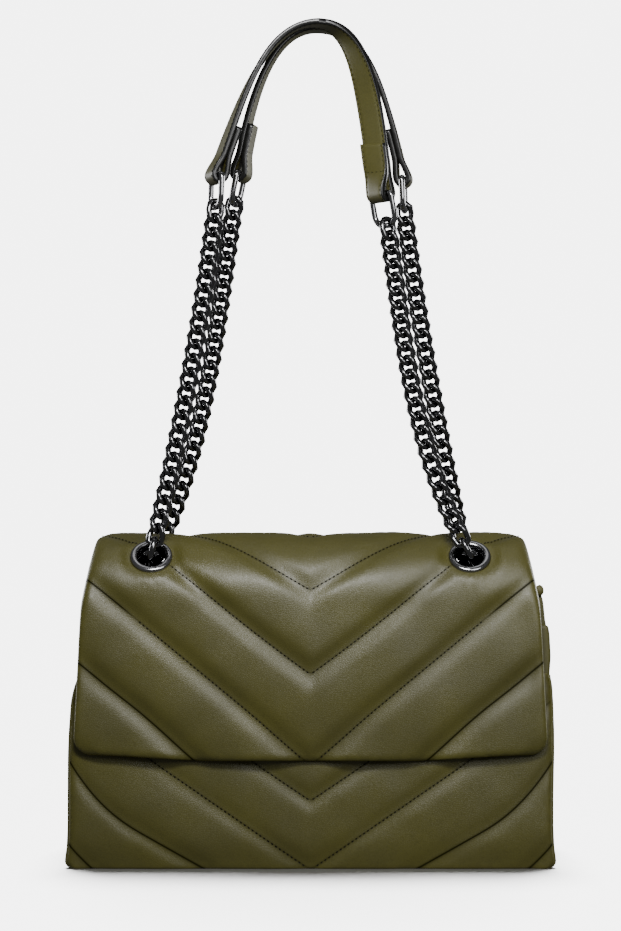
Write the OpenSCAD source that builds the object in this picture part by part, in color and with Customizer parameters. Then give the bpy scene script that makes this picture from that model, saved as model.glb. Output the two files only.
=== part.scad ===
// Quilted leather shoulder bag with a front flap, four metal eyelets and two
// straps of curb chain, each with a leather handle. The bag stands on its base,
// its front faces -Y and its width runs along X.

/* [Body] */
// Width of the body across its base
base_w = 280; // [250:1:320]
// Width of the body where the crown begins
shoulder_w = 262; // [240:1:300]
// Width of the crown at its top
crown_w = 250; // [230:1:290]
// Height of the body to the top of the crown
body_h = 192; // [180:1:220]
// Outer radius of the rounded crown
crown_r = 40; // [38:0.5:46]
// Distance from the middle of the base to the foot of the front panel
front_foot = 45; // [43:0.5:52]
// Height of the front panel's upper edge, behind the flap
front_top = 112; // [95:1:125]
// Thickness of the quilted leather with its padding
cover_t = 4.6; // [3.5:0.1:5.5]
// Thickness of the side gussets
gusset_t = 2.4; // [1.8:0.1:3.5]
// How far the gussets reach up into the ends of the crown
gusset_rise = 14; // [8:1:20]
// Thickness of the base panel
base_t = 3; // [2:0.1:5]
// Thickness of the stiffening board in the base
board_t = 1.8; // [1:0.1:3]
// Width of the bound edges on the gussets
binding_w = 5; // [3:0.5:8]
// Height that the bound edges stand proud of the gussets
binding_t = 1.2; // [0.6:0.1:2]

/* [Lining] */
// Thickness of the lining
lining_t = 1.2; // [0.8:0.1:2]
// Width of the slip pocket on the back lining
pocket_w = 160; // [120:1:200]
// Height of the slip pocket
pocket_h = 82; // [60:1:95]
// Height of the pocket's bottom above the floor of the lining
pocket_lift = 24; // [10:1:30]
// Depth that the pocket gapes
pocket_gap = 6; // [5:0.5:10]
// Thickness of the pocket's cloth
pocket_t = 1; // [0.8:0.1:2]

/* [Flap] */
// Height of the flap's lower edge
flap_edge = 64; // [50:1:80]
// Radius of the flap's lower corners
flap_corner = 8; // [4:0.5:20]
// Distance of the flap's lining from the front panel
flap_gap = 2.4; // [2.2:0.1:4]
// Border of quilted leather left free round the flap's lining
flap_border = 3; // [1:0.5:8]
// Gap between the flap and the crown at the fold
fold_gap = 0.3; // [0.2:0.05:0.6]

/* [Snaps] */
// Distance of each magnetic snap from the middle of the flap
snap_x = 70; // [40:1:100]
// Height of the snaps on the front panel
snap_z = 82; // [78:1:90]
// Radius of the snaps
snap_r = 9; // [6:0.5:11]
// Thickness of each half of a snap
snap_t = 1; // [0.6:0.1:1]

/* [Eyelets] */
// Distance of the eyelets from the middle of the bag
eyelet_x = 93; // [80:1:105]
// Tilt of the eyelets from upright, over the front and the back of the crown
eyelet_tilt = 45; // [40:1:50]
// Outer radius of the eyelets
eyelet_r = 12.35; // [11.5:0.05:13]
// Radius of the hole through the eyelets
eyelet_hole_r = 8.2; // [7.6:0.1:8.6]
// Height of the eyelet's domed flange
flange_t = 2; // [1.4:0.1:2.6]
// Wall of the eyelet's barrel
barrel_t = 0.8; // [0.5:0.05:1]
// Depth that the leather is pressed flat under the flange
flange_sink = 1.4; // [1:0.1:2]
// Outer radius of the washers inside the crown
washer_r = 12; // [11:0.1:12.5]
// Thickness of the washers
washer_t = 1.2; // [0.8:0.1:1.6]
// Depth that the leather is pressed flat under the washers
washer_sink = 1; // [0.6:0.1:1.4]

/* [Chain] */
// Radius of the chain's wire
wire_r = 1.4; // [1.2:0.05:1.5]
// Pitch that the chain is made to
link_pitch = 8.5; // [8.3:0.1:9.5]
// Outer width of a link
link_w = 10.2; // [9.8:0.1:10.8]
// Play between one link and the next
link_play = 0.2; // [0.1:0.05:0.3]
// Play where a strap's chain hangs in the end of the hidden one
pivot_play = 1.2; // [1:0.05:1.6]
// Distance of the chain's pivot above the crown
pivot_rise = 2; // [1.5:0.1:3]
// Distance that a chain under a handle's wide end bows inwards
wide_bow = 3; // [0:0.1:6]
// Distance that a chain under a handle's narrow end bows inwards
near_bow = 7.4; // [3:0.1:9]
// How much nearer to the eyelet the bow of that chain lies than midway
near_bow_skew = 0.5; // [0:0.05:0.6]
// Radius of the bend that the hidden chain takes under the crown
bridge_bend = 26; // [22:0.5:29]
// Angle between an eyelet's axis and the hidden chain, which lies on its rim
bridge_lean = 19; // [12:0.5:19.5]

/* [Rings] */
// Radius of the rings' wire
ring_wire_r = 1.4; // [1.2:0.05:1.6]
// Inner width of the rings, across the handle
ring_inner_w = 17; // [16.6:0.1:19]
// Distance between the upper and the lower bar of a ring
ring_h = 19; // [17:0.5:24]
// Radius of the rings' upper corners
ring_top_r = 2.2; // [1.9:0.1:2.4]
// Radius of the rings' lower corners
ring_low_r = 7; // [4:0.5:8]
// Outward lean of a ring under the wide end of a handle
wide_ring_lean = 2; // [0:1:6]
// Outward lean of a ring under the narrow end of a handle
near_ring_lean = 12; // [6:1:16]

/* [Handles] */
// Height of the top of the handles
handle_top = 496; // [470:1:530]
// Width of the handle straps
handle_w = 16; // [14:0.5:16.4]
// Thickness of the handle straps
handle_t = 3.4; // [2.6:0.1:4]
// Distance of each handle's middle from the bag's middle plane
handle_y = 9.5; // [9:0.1:14]
// Distance of a handle's wide end from the middle
wide_x = 55.4; // [50:0.2:64]
// Height of a handle's wide end
wide_z = 404.4; // [395:0.2:412]
// Lean of the front handle's wide end from upright
wide_lean_front = 20; // [10:1:26]
// Lean of the back handle's wide end from upright
wide_lean_back = 14; // [10:1:26]
// Distance of a handle's narrow end from the middle
near_x = 41.6; // [38:0.2:50]
// Height of the front handle's narrow end
near_z_front = 393.4; // [385:0.2:405]
// Height of the back handle's narrow end
near_z_back = 407.6; // [395:0.2:412]
// Lean of a handle's narrow end from upright
near_lean = 9; // [4:1:16]
// Distance of the top of the handles' arch to the right of the middle
arch_shift = 3.5; // [0:0.5:6]
// Reach of the front handle's curve along its top towards the wide end
wide_reach_front = 31; // [24:1:36]
// Reach of the back handle's curve along its top towards the wide end
wide_reach_back = 34; // [24:1:36]
// Reach of the front handle's curve along its top towards the narrow end
near_reach_front = 31; // [20:1:34]
// Reach of the back handle's curve along its top towards the narrow end
near_reach_back = 27; // [20:1:34]
// Reach of the handle's curve up from its ends
leg_reach = 45; // [35:1:52]
// Length of the ends that are folded back and sewn down
tab_len = 30; // [22:1:40]
// Length of the pointed gap that the fold leaves above a ring
fold_point = 10; // [7:0.5:13]
// Length over which a fold tapers into the strap
fold_taper = 40; // [32:1:48]

/* [Hidden] */

// Clearance round what is let into a hole or laid between walls
fit = 0.2;
// Overrun of every cut
cut = 1;
// Corner steps and facets of the round pieces
corner_steps = 6;
$fn = 96;
wire_sides = 6;
bend_steps = 4;
ring_sides = 8;
ring_corner_steps = 4;
leg_steps = 14;
fold_steps = 12;

olive = [0.31, 0.29, 0.17];
black = [0.07, 0.07, 0.07];
gunmetal = [0.24, 0.24, 0.24];
board_grey = [0.55, 0.53, 0.5];

// Height at which the crown springs from the walls and the flap folds
spring_z = body_h - crown_r;
// Front wall where its line reaches the spring height
front_head = crown_r - cover_t - lining_t - flap_gap;
// Shift from the front panel's outer face to the flap's
flap_shift = crown_r - front_head;
// Foot of the back panel, as far out as the flap reaches at the front
back_foot = flap_shift - front_y(flap_edge);
// Lean of the front panel and the flap
front_lean = atan2(front_foot - front_head, spring_z);
floor_z = base_t + board_t;
span = base_w + 4 * binding_t;
depth = 4 * back_foot;
link_gap = 2 * wire_r + link_play;
pivot_gap = 2 * wire_r + pivot_play;
link_half = link_w / 2 - wire_r;
pivot_s = crown_r + pivot_rise;
flange_s = crown_r - flange_sink;
washer_s = crown_r - cover_t - washer_sink;
ring_half = ring_inner_w / 2 + ring_wire_r;

// Outer face of the front panel and of the back panel at a height
function front_y(z) = -front_foot + (front_foot - front_head) * z / spring_z;
function back_y(z) = back_foot + (crown_r - back_foot) * z / spring_z;
function between(a, b, share) = a + (b - a) * share;
function unit(v) = v / norm(v);
function half_w(z) = z < spring_z
    ? between(base_w, shoulder_w, z / spring_z) / 2
    : between(shoulder_w, crown_w, (z - spring_z) / crown_r) / 2;

// Points of an arc about a centre, in a plane
function arc(centre, r, from, to, steps) =
    [for (k = [0:steps]) let (a = between(from, to, k / steps)) centre + r * [cos(a), sin(a)]];

// A shape of the side view, drawn in Y and Z, run across the bag
module across(length = span) {
    translate([-length / 2, 0, 0]) rotate([90, 0, 90]) linear_extrude(length) children();
}

// A shape of the front view, drawn in X and Z, run through the bag
module through(length = depth) {
    translate([0, length / 2, 0]) rotate([90, 0, 0]) linear_extrude(length) children();
}

// Front outline of the body, drawn in or out at the sides
module outline(inset) {
    polygon([for (p = [[-1, 0], [1, 0], [1, spring_z], [1, body_h], [-1, body_h], [-1, spring_z]])
        [p[0] * (half_w(p[1]) - inset), p[1]]]);
}

// Side view of a wall between two heights, between two faces given by their
// depth inside the outer face: side -1 is the front wall and 1 the back wall
module wall(side, low, high, outer, inner) {
    function face(z) = side < 0 ? front_y(z) : back_y(z);
    polygon([[face(low) - side * outer, low], [face(low) - side * inner, low],
        [face(high) - side * inner, high], [face(high) - side * outer, high]]);
}

// Side view of the space between the walls, at a depth inside their outer faces
module inside(low, high, inset) {
    polygon([[front_y(low) + inset, low], [back_y(low) - inset, low],
        [back_y(high) - inset, high], [front_y(high) + inset, high]]);
}

// Side view of half a ring over the spring line
module half_ring(outer, inner) {
    translate([0, spring_z]) difference() {
        circle(outer);
        circle(inner);
        translate([-outer - cut, -outer - cut]) square([2 * (outer + cut), outer + cut]);
    }
}

module front_panel() {
    color(olive) intersection() {
        across() wall(-1, 0, front_top, 0, cover_t);
        through() outline(0);
    }
}

module back_panel() {
    color(olive) intersection() {
        across() wall(1, 0, spring_z, 0, cover_t);
        through() outline(0);
    }
}

// Places its children on each eyelet's axis, with the axis along Z and the
// middle of the crown at the origin
module at_eyelets(sides = [-1, 1], faces = [-1, 1]) {
    for (side = sides, face = faces)
        translate([side * eyelet_x, 0, spring_z]) rotate([-face * eyelet_tilt, 0, 0]) children();
}

module crown_cover() {
    color(olive) difference() {
        intersection() {
            across() half_ring(crown_r, crown_r - cover_t);
            through() outline(0);
        }
        at_eyelets() {
            cylinder(r = eyelet_hole_r + barrel_t + fit, h = crown_r + cut);
            translate([0, 0, flange_s]) cylinder(r = eyelet_r + fit, h = crown_r - flange_s + cut);
            cylinder(r = washer_r + fit, h = washer_s);
        }
    }
}

// The gusset stands between the front and the back and ends inside the crown
module gusset(side) {
    color(olive) intersection() {
        across() {
            inside(base_t, spring_z, cover_t);
            translate([0, spring_z]) intersection() {
                circle(crown_r - cover_t);
                translate([front_y(spring_z) + cover_t, 0]) square([depth, gusset_rise]);
            }
        }
        difference() {
            through() outline(0);
            through() outline(gusset_t);
        }
        translate([side > 0 ? 0 : -span, -depth, 0]) cube([span, 2 * depth, body_h]);
    }
}

module left_gusset() gusset(-1);
module right_gusset() gusset(1);

module base_panel() {
    color(olive) intersection() {
        across() inside(0, base_t, cover_t);
        through() outline(0);
    }
}

module base_board() {
    color(board_grey) intersection() {
        across() inside(base_t, floor_z, cover_t + fit);
        through() outline(gusset_t + fit);
    }
}

// The raw edges of front and back are bound where they meet the gusset
module binding(side) {
    color(olive) intersection() {
        across() {
            wall(-1, 0, front_top, 0, binding_w);
            wall(1, 0, spring_z, 0, binding_w);
        }
        difference() {
            through() outline(-binding_t);
            through() outline(0);
        }
        translate([side > 0 ? 0 : -span, -depth, 0]) cube([span, 2 * depth, body_h]);
    }
}

module left_binding() binding(-1);
module right_binding() binding(1);

// The lining is open at the top and lower at the front
module lining() {
    color(black) difference() {
        intersection() {
            across() inside(floor_z, spring_z, cover_t);
            through() outline(gusset_t);
        }
        intersection() {
            union() {
                across() inside(floor_z + lining_t, spring_z + cut, cover_t + lining_t);
                across() wall(-1, front_top, spring_z + cut, cover_t - cut, cover_t + 2 * lining_t);
            }
            through() outline(gusset_t + lining_t);
        }
    }
}

module crown_lining() {
    color(black) difference() {
        intersection() {
            across() half_ring(crown_r - cover_t, crown_r - cover_t - lining_t);
            through() outline(gusset_t);
        }
        at_eyelets() cylinder(r = washer_r + fit, h = crown_r + cut);
    }
}

// A slip pocket sewn to the back lining, open at its top
module inner_pocket() {
    low = floor_z + lining_t + pocket_lift;
    near = cover_t + lining_t;
    color(black) difference() {
        across(pocket_w) wall(1, low, low + pocket_h, near, near + pocket_gap + pocket_t);
        across(pocket_w - 2 * pocket_t)
            wall(1, low + pocket_t, low + pocket_h + cut, near - cut, near + pocket_gap);
    }
}

// Places its children at the snaps, with +Z square out from the front panel
module at_snaps() {
    for (side = [-1, 1])
        translate([side * snap_x, front_y(snap_z), snap_z])
            rotate([90 - front_lean, 0, 0]) children();
}

module snap_sockets() {
    color(gunmetal) at_snaps() difference() {
        cylinder(r = snap_r, h = snap_t);
        translate([0, 0, snap_t / 2]) cylinder(r = snap_r / 3, h = snap_t);
    }
}

module snap_studs() {
    rise = flap_gap * cos(front_lean);
    color(gunmetal) at_snaps() difference() {
        translate([0, 0, rise - snap_t]) cylinder(r = snap_r, h = snap_t);
        translate([0, 0, rise - snap_t - cut]) cylinder(r = snap_r / 3, h = cut + snap_t / 2);
    }
}

// Front outline of the flap, with round lower corners
module flap_outline(inset) {
    low = flap_edge + inset;
    high = spring_z - fold_gap - inset;
    r = flap_corner;
    foot = half_w(low) - inset;
    head = half_w(high) - inset;
    corner = arc([foot - r, low + r], r, -90, 0, corner_steps);
    polygon(concat(corner, [[head, high], [-head, high]],
        [for (k = [corner_steps:-1:0]) [-corner[k][0], corner[k][1]]]));
}

module flap_sheet(outer, inner, inset) {
    intersection() {
        across() wall(-1, 0, spring_z, outer - flap_shift, inner - flap_shift);
        through() flap_outline(inset);
    }
}

module flap_panel() {
    color(olive) flap_sheet(0, cover_t, 0);
}

module flap_lining() {
    color(black) flap_sheet(cover_t, cover_t + lining_t, flap_border);
}

// A domed flange over the crown, and a barrel down through it
module eyelet(side, face) {
    middle = (eyelet_r + eyelet_hole_r) / 2;
    half = (eyelet_r - eyelet_hole_r) / 2;
    barrel = eyelet_hole_r + barrel_t;
    dome = [for (k = [0:corner_steps]) let (a = 180 - 180 * k / corner_steps)
        [middle + half * cos(a), flange_s + flange_t * sin(a)]];
    color(gunmetal) at_eyelets([side], [face]) rotate_extrude()
        polygon(concat([[eyelet_hole_r, washer_s - washer_t]], dome,
            [[barrel, flange_s], [barrel, washer_s - washer_t]]));
}

module eyelet_front_left() eyelet(-1, -1);
module eyelet_front_right() eyelet(1, -1);
module eyelet_back_left() eyelet(-1, 1);
module eyelet_back_right() eyelet(1, 1);

module eyelet_washers() {
    color(gunmetal) at_eyelets() translate([0, 0, washer_s - washer_t]) difference() {
        cylinder(r = washer_r, h = washer_t);
        translate([0, 0, -cut])
            cylinder(r = eyelet_hole_r + barrel_t + fit / 2, h = washer_t + 2 * cut);
    }
}

// Middle of the wire at one step round a link that is twisted from angle
// turn_a at its first end to turn_b at its second
function link_middle(a, b, turn_a, turn_b, k) =
    let (
        length = norm(b - a),
        upper = k <= bend_steps,
        phi = upper ? -90 + 180 * k / bend_steps : 90 + 180 * (k - bend_steps - 1) / bend_steps,
        along = (upper ? 1 : -1) * (length / 2 - link_half) + link_half * cos(phi),
        share = along / length + 1 / 2,
        turn = between(turn_a, turn_b, share * share * (3 - 2 * share)),
        t = unit(b - a),
        n = unit([1, 0, 0] - t[0] * t),
        side = cos(turn) * n + sin(turn) * cross(t, n)
    )
    [(a + b) / 2 + t * along + side * link_half * sin(phi), cross(t, side)];

// Points round the wire of one link, ring by ring
function link_points(a, b, turn_a, turn_b) =
    let (
        count = 2 * (bend_steps + 1),
        mid = [for (k = [0:count - 1]) link_middle(a, b, turn_a, turn_b, k)]
    )
    [for (k = [0:count - 1])
        let (
            t = unit(mid[(k + 1) % count][0] - mid[(k + count - 1) % count][0]),
            up = unit(mid[k][1] - (mid[k][1] * t) * t),
            out = cross(up, t)
        )
        for (j = [0:wire_sides - 1])
            mid[k][0] + wire_r * (cos(360 * j / wire_sides) * out + sin(360 * j / wire_sides) * up)];

// Faces of a closed loop of rings of points that starts at the given point
function loop_faces(first, rings, sides) =
    [for (k = [0:rings - 1], j = [0:sides - 1])
        let (
            a = first + k * sides,
            b = first + ((k + 1) % rings) * sides,
            j2 = (j + 1) % sides
        )
        each [[a + j, b + j, b + j2], [a + j, b + j2, a + j2]]];

// Links along a path, each a pair of ends. Each link starts a quarter turn from
// where the one before it ends and is twisted back by as much. The first link,
// turned as given, is flat, and so is the last one of a chain with a flat end.
module chain(ends, first_turn, last_flat) {
    last = len(ends) - 1;
    count = 2 * (bend_steps + 1);
    function turn_a(i) = i == 0 ? first_turn : i == 1 ? first_turn + 90
        : i == last && last_flat ? 0 : 45;
    function turn_b(i) = i == 0 ? first_turn : i == last ? 0
        : i == 1 ? first_turn + (first_turn < 0 ? 45 : 135)
        : i == last - 1 && last_flat ? 90 : -45;
    points = [for (i = [0:last])
        each link_points(ends[i][0], ends[i][1], turn_a(i), turn_b(i))];
    color(gunmetal) polyhedron(points,
        [for (i = [0:last]) each loop_faces(i * count * wire_sides, count, wire_sides)]);
}

// A handle's wide end is on the left at the front and on the right at the back
function is_wide(side, face) = side * face > 0;

// Middle of a ring's upper bar, which a handle's end is folded round
function upper_bar(side, face) = is_wide(side, face)
    ? [side * wide_x, face * handle_y, wide_z]
    : [side * near_x, face * handle_y, face < 0 ? near_z_front : near_z_back];

// Direction down a ring, from its upper bar to its lower bar
function ring_down(side, face) =
    let (lean = is_wide(side, face) ? wide_ring_lean : near_ring_lean)
    [side * sin(lean), 0, -cos(lean)];

function lower_bar(side, face) = upper_bar(side, face) + ring_h * ring_down(side, face);

// Pivot of a chain in the mouth of its eyelet
function pivot(side, face) = [side * eyelet_x, face * pivot_s * sin(eyelet_tilt),
    spring_z + pivot_s * cos(eyelet_tilt)];

// A chain from its eyelet to its ring, bowed in towards the middle of the bag
module strap_chain(side, face) {
    foot = pivot(side, face);
    head = lower_bar(side, face);
    length = norm(head - foot);
    count = round((length + pivot_gap) / link_pitch);
    pitch = (length + pivot_gap) / count;
    bow = is_wide(side, face) ? wide_bow : near_bow;
    skew = is_wide(side, face) ? 0 : near_bow_skew;
    // The end that leans out under the pivot is centred on it
    lean = (side * (foot[0] - head[0]) + 4 * bow * (1 + skew)) / length;
    shift = side * lean * pivot_gap / 2;
    function place(s) = let (q = s / length) between(foot - [shift, 0, 0], head, q)
        - [side * bow * 4 * q * (1 - q) * (1 + skew * (1 - 2 * q)), 0, 0];
    chain([for (i = [0:count - 1])
        [place(i * pitch - pivot_gap), place((i + 1) * pitch - pivot_gap + link_gap)]],
        -90, false);
}

// The same chain goes on under the crown, down from the front eyelet and up to
// the one at the back
module bridge_chain(side) {
    tilt = eyelet_tilt + bridge_lean;
    swing = 90 - tilt;
    start = pivot(side, 1);
    straight = start[1] / sin(tilt) - bridge_bend / tan(tilt);
    bend = bridge_bend * 2 * swing * PI / 180;
    length = 2 * straight + bend;
    centre_z = start[2] - start[1] / tan(tilt) + bridge_bend / sin(tilt);
    count = round((length - link_gap) / link_pitch);
    pitch = (length - link_gap) / count;
    function leg(s, face) = pivot(side, face)
        - s * [0, face * sin(tilt), cos(tilt)];
    function place(s) = s < straight ? leg(s, -1)
        : s > straight + bend ? leg(length - s, 1)
        : let (a = ((s - straight) / bend * 2 - 1) * swing)
            [side * eyelet_x, bridge_bend * sin(a), centre_z - bridge_bend * cos(a)];
    chain([for (i = [0:count - 1])
        [place(i * pitch), place((i + 1) * pitch + link_gap)]], 0, true);
}

module bridge_chain_left() bridge_chain(-1);
module bridge_chain_right() bridge_chain(1);
module front_chain_left() strap_chain(-1, -1);
module front_chain_right() strap_chain(1, -1);
module back_chain_left() strap_chain(-1, 1);
module back_chain_right() strap_chain(1, 1);

// A ring with a straight upper bar for the handle and a rounder lower one
module ring(side, face) {
    down = ring_down(side, face);
    square_out = cross([0, 1, 0], down);
    corners = concat(
        arc([ring_half - ring_top_r, -ring_top_r], ring_top_r, 90, 0, ring_corner_steps),
        arc([ring_half - ring_low_r, ring_low_r - ring_h], ring_low_r, 0, -90, ring_corner_steps),
        arc([ring_low_r - ring_half, ring_low_r - ring_h], ring_low_r, -90, -180, ring_corner_steps),
        arc([ring_top_r - ring_half, -ring_top_r], ring_top_r, 180, 90, ring_corner_steps));
    count = len(corners);
    points = [for (k = [0:count - 1])
        let (
            step = unit(corners[(k + 1) % count] - corners[(k + count - 1) % count]),
            out = [step[1], -step[0]],
            middle = upper_bar(side, face) + [0, corners[k][0], 0] - down * corners[k][1]
        )
        for (j = [0:ring_sides - 1])
            let (a = 360 * j / ring_sides)
            middle + ring_wire_r * (cos(a) * ([0, out[0], 0] - down * out[1]) + sin(a) * square_out)];
    color(gunmetal) polyhedron(points, loop_faces(0, count, ring_sides));
}

module front_ring_left() ring(-1, -1);
module front_ring_right() ring(1, -1);
module back_ring_left() ring(-1, 1);
module back_ring_right() ring(1, 1);

// Point of a cubic curve through four control points
function curve(p, t) = pow(1 - t, 3) * p[0] + 3 * t * pow(1 - t, 2) * p[1]
    + 3 * t * t * (1 - t) * p[2] + pow(t, 3) * p[3];

// Length along a line of points up to each of them
function lengths(points, i = 0, sum = 0) = i == len(points) - 1 ? [sum]
    : concat([sum], lengths(points, i + 1, sum + norm(points[i + 1] - points[i])));

// Left side of the line's direction at one of its points
function left_of(points, i) =
    let (step = unit(points[min(i + 1, len(points) - 1)] - points[max(i - 1, 0)]))
    [-step[1], step[0]];

// A pointed loop round a bar: a circle and its tangents from a point
module fold(centre, up, r, point, width) {
    spread = acos(r / point);
    linear_extrude(width, center = true) polygon(concat(arc(centre, r, up + spread, up + 360 - spread, fold_steps),
        [centre + point * [cos(up), sin(up)]]));
}

// A handle with its wide end on the left. Each end is folded inwards round its
// ring's upper bar and lies sewn to the inner face of the strap.
module handle(near_z, top_x, wide_lean, wide_reach, near_reach) {
    wide_up = 90 - wide_lean;
    near_up = 90 + near_lean;
    wide = [-wide_x, wide_z];
    near = [near_x, near_z];
    top = [top_x, handle_top - handle_t / 2];
    wide_end = wide + handle_t / 2 * [cos(wide_up + 90), sin(wide_up + 90)];
    near_end = near + handle_t / 2 * [cos(near_up - 90), sin(near_up - 90)];
    wide_leg = [top, top - [wide_reach, 0],
        wide_end + leg_reach * [cos(wide_up), sin(wide_up)], wide_end];
    near_leg = [top, top + [near_reach, 0],
        near_end + leg_reach * [cos(near_up), sin(near_up)], near_end];
    line = concat([for (k = [leg_steps:-1:1]) curve(wide_leg, k / leg_steps)],
        [for (k = [0:leg_steps]) curve(near_leg, k / leg_steps)]);
    along = lengths(line);
    whole = along[len(line) - 1];
    function at(s) = let (i = max([for (k = [0:len(line) - 2]) if (along[k] <= s) k]))
        [between(line[i], line[i + 1], (s - along[i]) / (along[i + 1] - along[i])), i];
    function off(i, distance) = line[i] + distance * left_of(line, i);
    function off_at(s, distance) = let (p = at(s)) p[0] + distance * left_of(line, p[1]);
    single = -handle_t / 2;
    double = single - handle_t;
    tab_ends = [tab_len, whole - tab_len];
    inner = concat(
        [for (i = [0:len(line) - 1]) if (along[i] < tab_ends[0]) off(i, double)],
        [off_at(tab_ends[0], double), off_at(tab_ends[0], single)],
        [for (i = [0:len(line) - 1]) if (along[i] > tab_ends[0] && along[i] < tab_ends[1])
            off(i, single)],
        [off_at(tab_ends[1], single), off_at(tab_ends[1], double)],
        [for (i = [0:len(line) - 1]) if (along[i] > tab_ends[1]) off(i, double)]);
    outer = [for (i = [0:len(line) - 1]) off(i, -single)];
    bar_r = ring_wire_r + fit;
    difference() {
        union() {
            linear_extrude(handle_w, center = true)
                polygon(concat(outer, [for (i = [len(inner) - 1:-1:0]) inner[i]]));
            fold(wide, wide_up, bar_r + handle_t, fold_taper, handle_w);
            fold(near, near_up, bar_r + handle_t, fold_taper, handle_w);
        }
        fold(wide, wide_up, bar_r, fold_point, handle_w + cut);
        fold(near, near_up, bar_r, fold_point, handle_w + cut);
    }
}

module front_handle() {
    color(olive) translate([0, -handle_y, 0]) rotate([90, 0, 0])
        handle(near_z_front, arch_shift, wide_lean_front, wide_reach_front, near_reach_front);
}

module back_handle() {
    color(olive) translate([0, handle_y, 0]) rotate([90, 0, 0]) mirror([1, 0, 0])
        handle(near_z_back, -arch_shift, wide_lean_back, wide_reach_back, near_reach_back);
}

front_panel();
back_panel();
crown_cover();
left_gusset();
right_gusset();
base_panel();
base_board();
left_binding();
right_binding();
lining();
crown_lining();
inner_pocket();
snap_sockets();
flap_panel();
flap_lining();
snap_studs();
eyelet_front_left();
eyelet_front_right();
eyelet_back_left();
eyelet_back_right();
eyelet_washers();
bridge_chain_left();
bridge_chain_right();
front_handle();
front_ring_left();
front_ring_right();
front_chain_left();
front_chain_right();
back_handle();
back_ring_left();
back_ring_right();
back_chain_left();
back_chain_right();
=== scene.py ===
"""Looks of the chain shoulder bag: quilted leather, lining, metal, thread and its studio."""

import math

import bmesh
import bpy
import numpy as np
from mathutils import Matrix, Vector


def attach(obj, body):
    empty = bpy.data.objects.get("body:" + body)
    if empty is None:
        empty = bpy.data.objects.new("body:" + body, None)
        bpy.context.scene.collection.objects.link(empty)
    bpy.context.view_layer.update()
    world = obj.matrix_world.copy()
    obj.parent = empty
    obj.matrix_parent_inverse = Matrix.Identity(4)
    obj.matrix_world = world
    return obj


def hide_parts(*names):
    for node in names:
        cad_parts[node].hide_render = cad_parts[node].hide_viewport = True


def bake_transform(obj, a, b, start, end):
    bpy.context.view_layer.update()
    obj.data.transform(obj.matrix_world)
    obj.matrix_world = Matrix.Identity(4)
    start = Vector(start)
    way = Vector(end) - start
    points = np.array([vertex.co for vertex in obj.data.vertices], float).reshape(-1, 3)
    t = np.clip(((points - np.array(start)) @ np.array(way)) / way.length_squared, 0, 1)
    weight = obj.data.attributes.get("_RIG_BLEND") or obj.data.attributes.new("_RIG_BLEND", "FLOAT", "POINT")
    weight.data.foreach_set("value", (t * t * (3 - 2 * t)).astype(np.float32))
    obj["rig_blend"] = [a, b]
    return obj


bl_info = {
    "name": "Chain shoulder bag",
    "version": (1, 0, 0),
    "blender": (4, 5, 0),
    "location": "3D View > Sidebar > Shoulder bag",
    "description": "Makes the leather, lining, metal and stitching of a quilted chain shoulder bag",
    "category": "Object",
}

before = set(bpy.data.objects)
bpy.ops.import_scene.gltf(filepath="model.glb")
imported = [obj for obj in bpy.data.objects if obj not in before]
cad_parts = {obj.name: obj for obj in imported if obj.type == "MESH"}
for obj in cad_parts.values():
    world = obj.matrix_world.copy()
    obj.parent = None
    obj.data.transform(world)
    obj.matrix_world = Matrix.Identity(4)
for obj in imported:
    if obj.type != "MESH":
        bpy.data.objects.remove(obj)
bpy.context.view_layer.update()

# Sizes of the frame, in metres and degrees
BASE_W, SHOULDER_W, CROWN_W = 0.280, 0.262, 0.250
SPRING_Z, CROWN_R = 0.152, 0.040
FRONT_FOOT, FRONT_HEAD, FRONT_TOP = 0.045, 0.0318, 0.112
FLAP_SHIFT, FLAP_EDGE = 0.0082, 0.064
SNAP_X, SNAP_Z = 0.07, 0.082
BACK_FOOT = 0.04764
COVER_T, LINING_T, GUSSET_T, BASE_T, FLOOR_Z = 0.0046, 0.0012, 0.0024, 0.003, 0.0048
GUSSET_TOP = SPRING_Z + 0.014
EYELET_X, EYELET_R, HOLE_R, FLANGE_S, WASHER_S = 0.093, 0.01235, 0.0082, 0.0386, 0.0344
PIVOT_S = 0.042
HANDLE_Y, HANDLE_TOP, HANDLE_W, HANDLE_T = 0.0095, 0.496, 0.016, 0.0034
LINK_GAP, PIVOT_GAP, LINK_PITCH = 0.0038, 0.004, 0.0085
WIDE_BOW, NEAR_BOW, NEAR_SKEW, ARCH_SHIFT = 0.0030, 0.0074, 0.5, 0.0035
BRIDGE_BEND, BRIDGE_LEAN = 0.026, 19
RING_HALF, RING_H, RING_TOP_R, RING_LOW_R = 0.0099, 0.019, 0.0022, 0.007
TAB_LEN = 0.030
BINDING_W, BINDING_T, BINDING_DEPTH = 0.0046, 0.0022, 0.0027
POCKET_LOW, POCKET_HIGH, POCKET_HALF = 0.024, 0.106, 0.08

# Sizes that are the photo's and differ a little from the frame's
FLAP_CORNER, WIRE_R, RING_R = 0.0105, 0.00185, 0.00175
STRAP_LINK_HALF, BRIDGE_LINK_HALF = 0.0043, 0.0038
# How far the right strands part between eyelet and ring, on top of their bow, by face
RIGHT_SPREAD = {-1: -0.0018, 1: 0.0009}

# Where the quilting lines' ends begin to flare, and over what width
FLARE_START, FLARE_WIDTH = 0.095, 0.0443
# How much of the cover's filling the body's panels have
PANEL_FILL = 0.45
# Seeds of the unevenness of the quilted pieces
COVER_SEED, FRONT_SEED, BACK_SEED = 11, 21, 23
# How far the painted shade of the creases and the wear and painted highlight of turned edges reach
CREASE_REACH, RIM_REACH = 0.0010, 0.002
# Pitch of the quilting stitches, how far their thread stands over its crease, and the width of the handles' thread
STITCH_PITCH, THREAD_RISE, STRAP_THREAD = 0.0027, 0.0003, 0.00042
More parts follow.
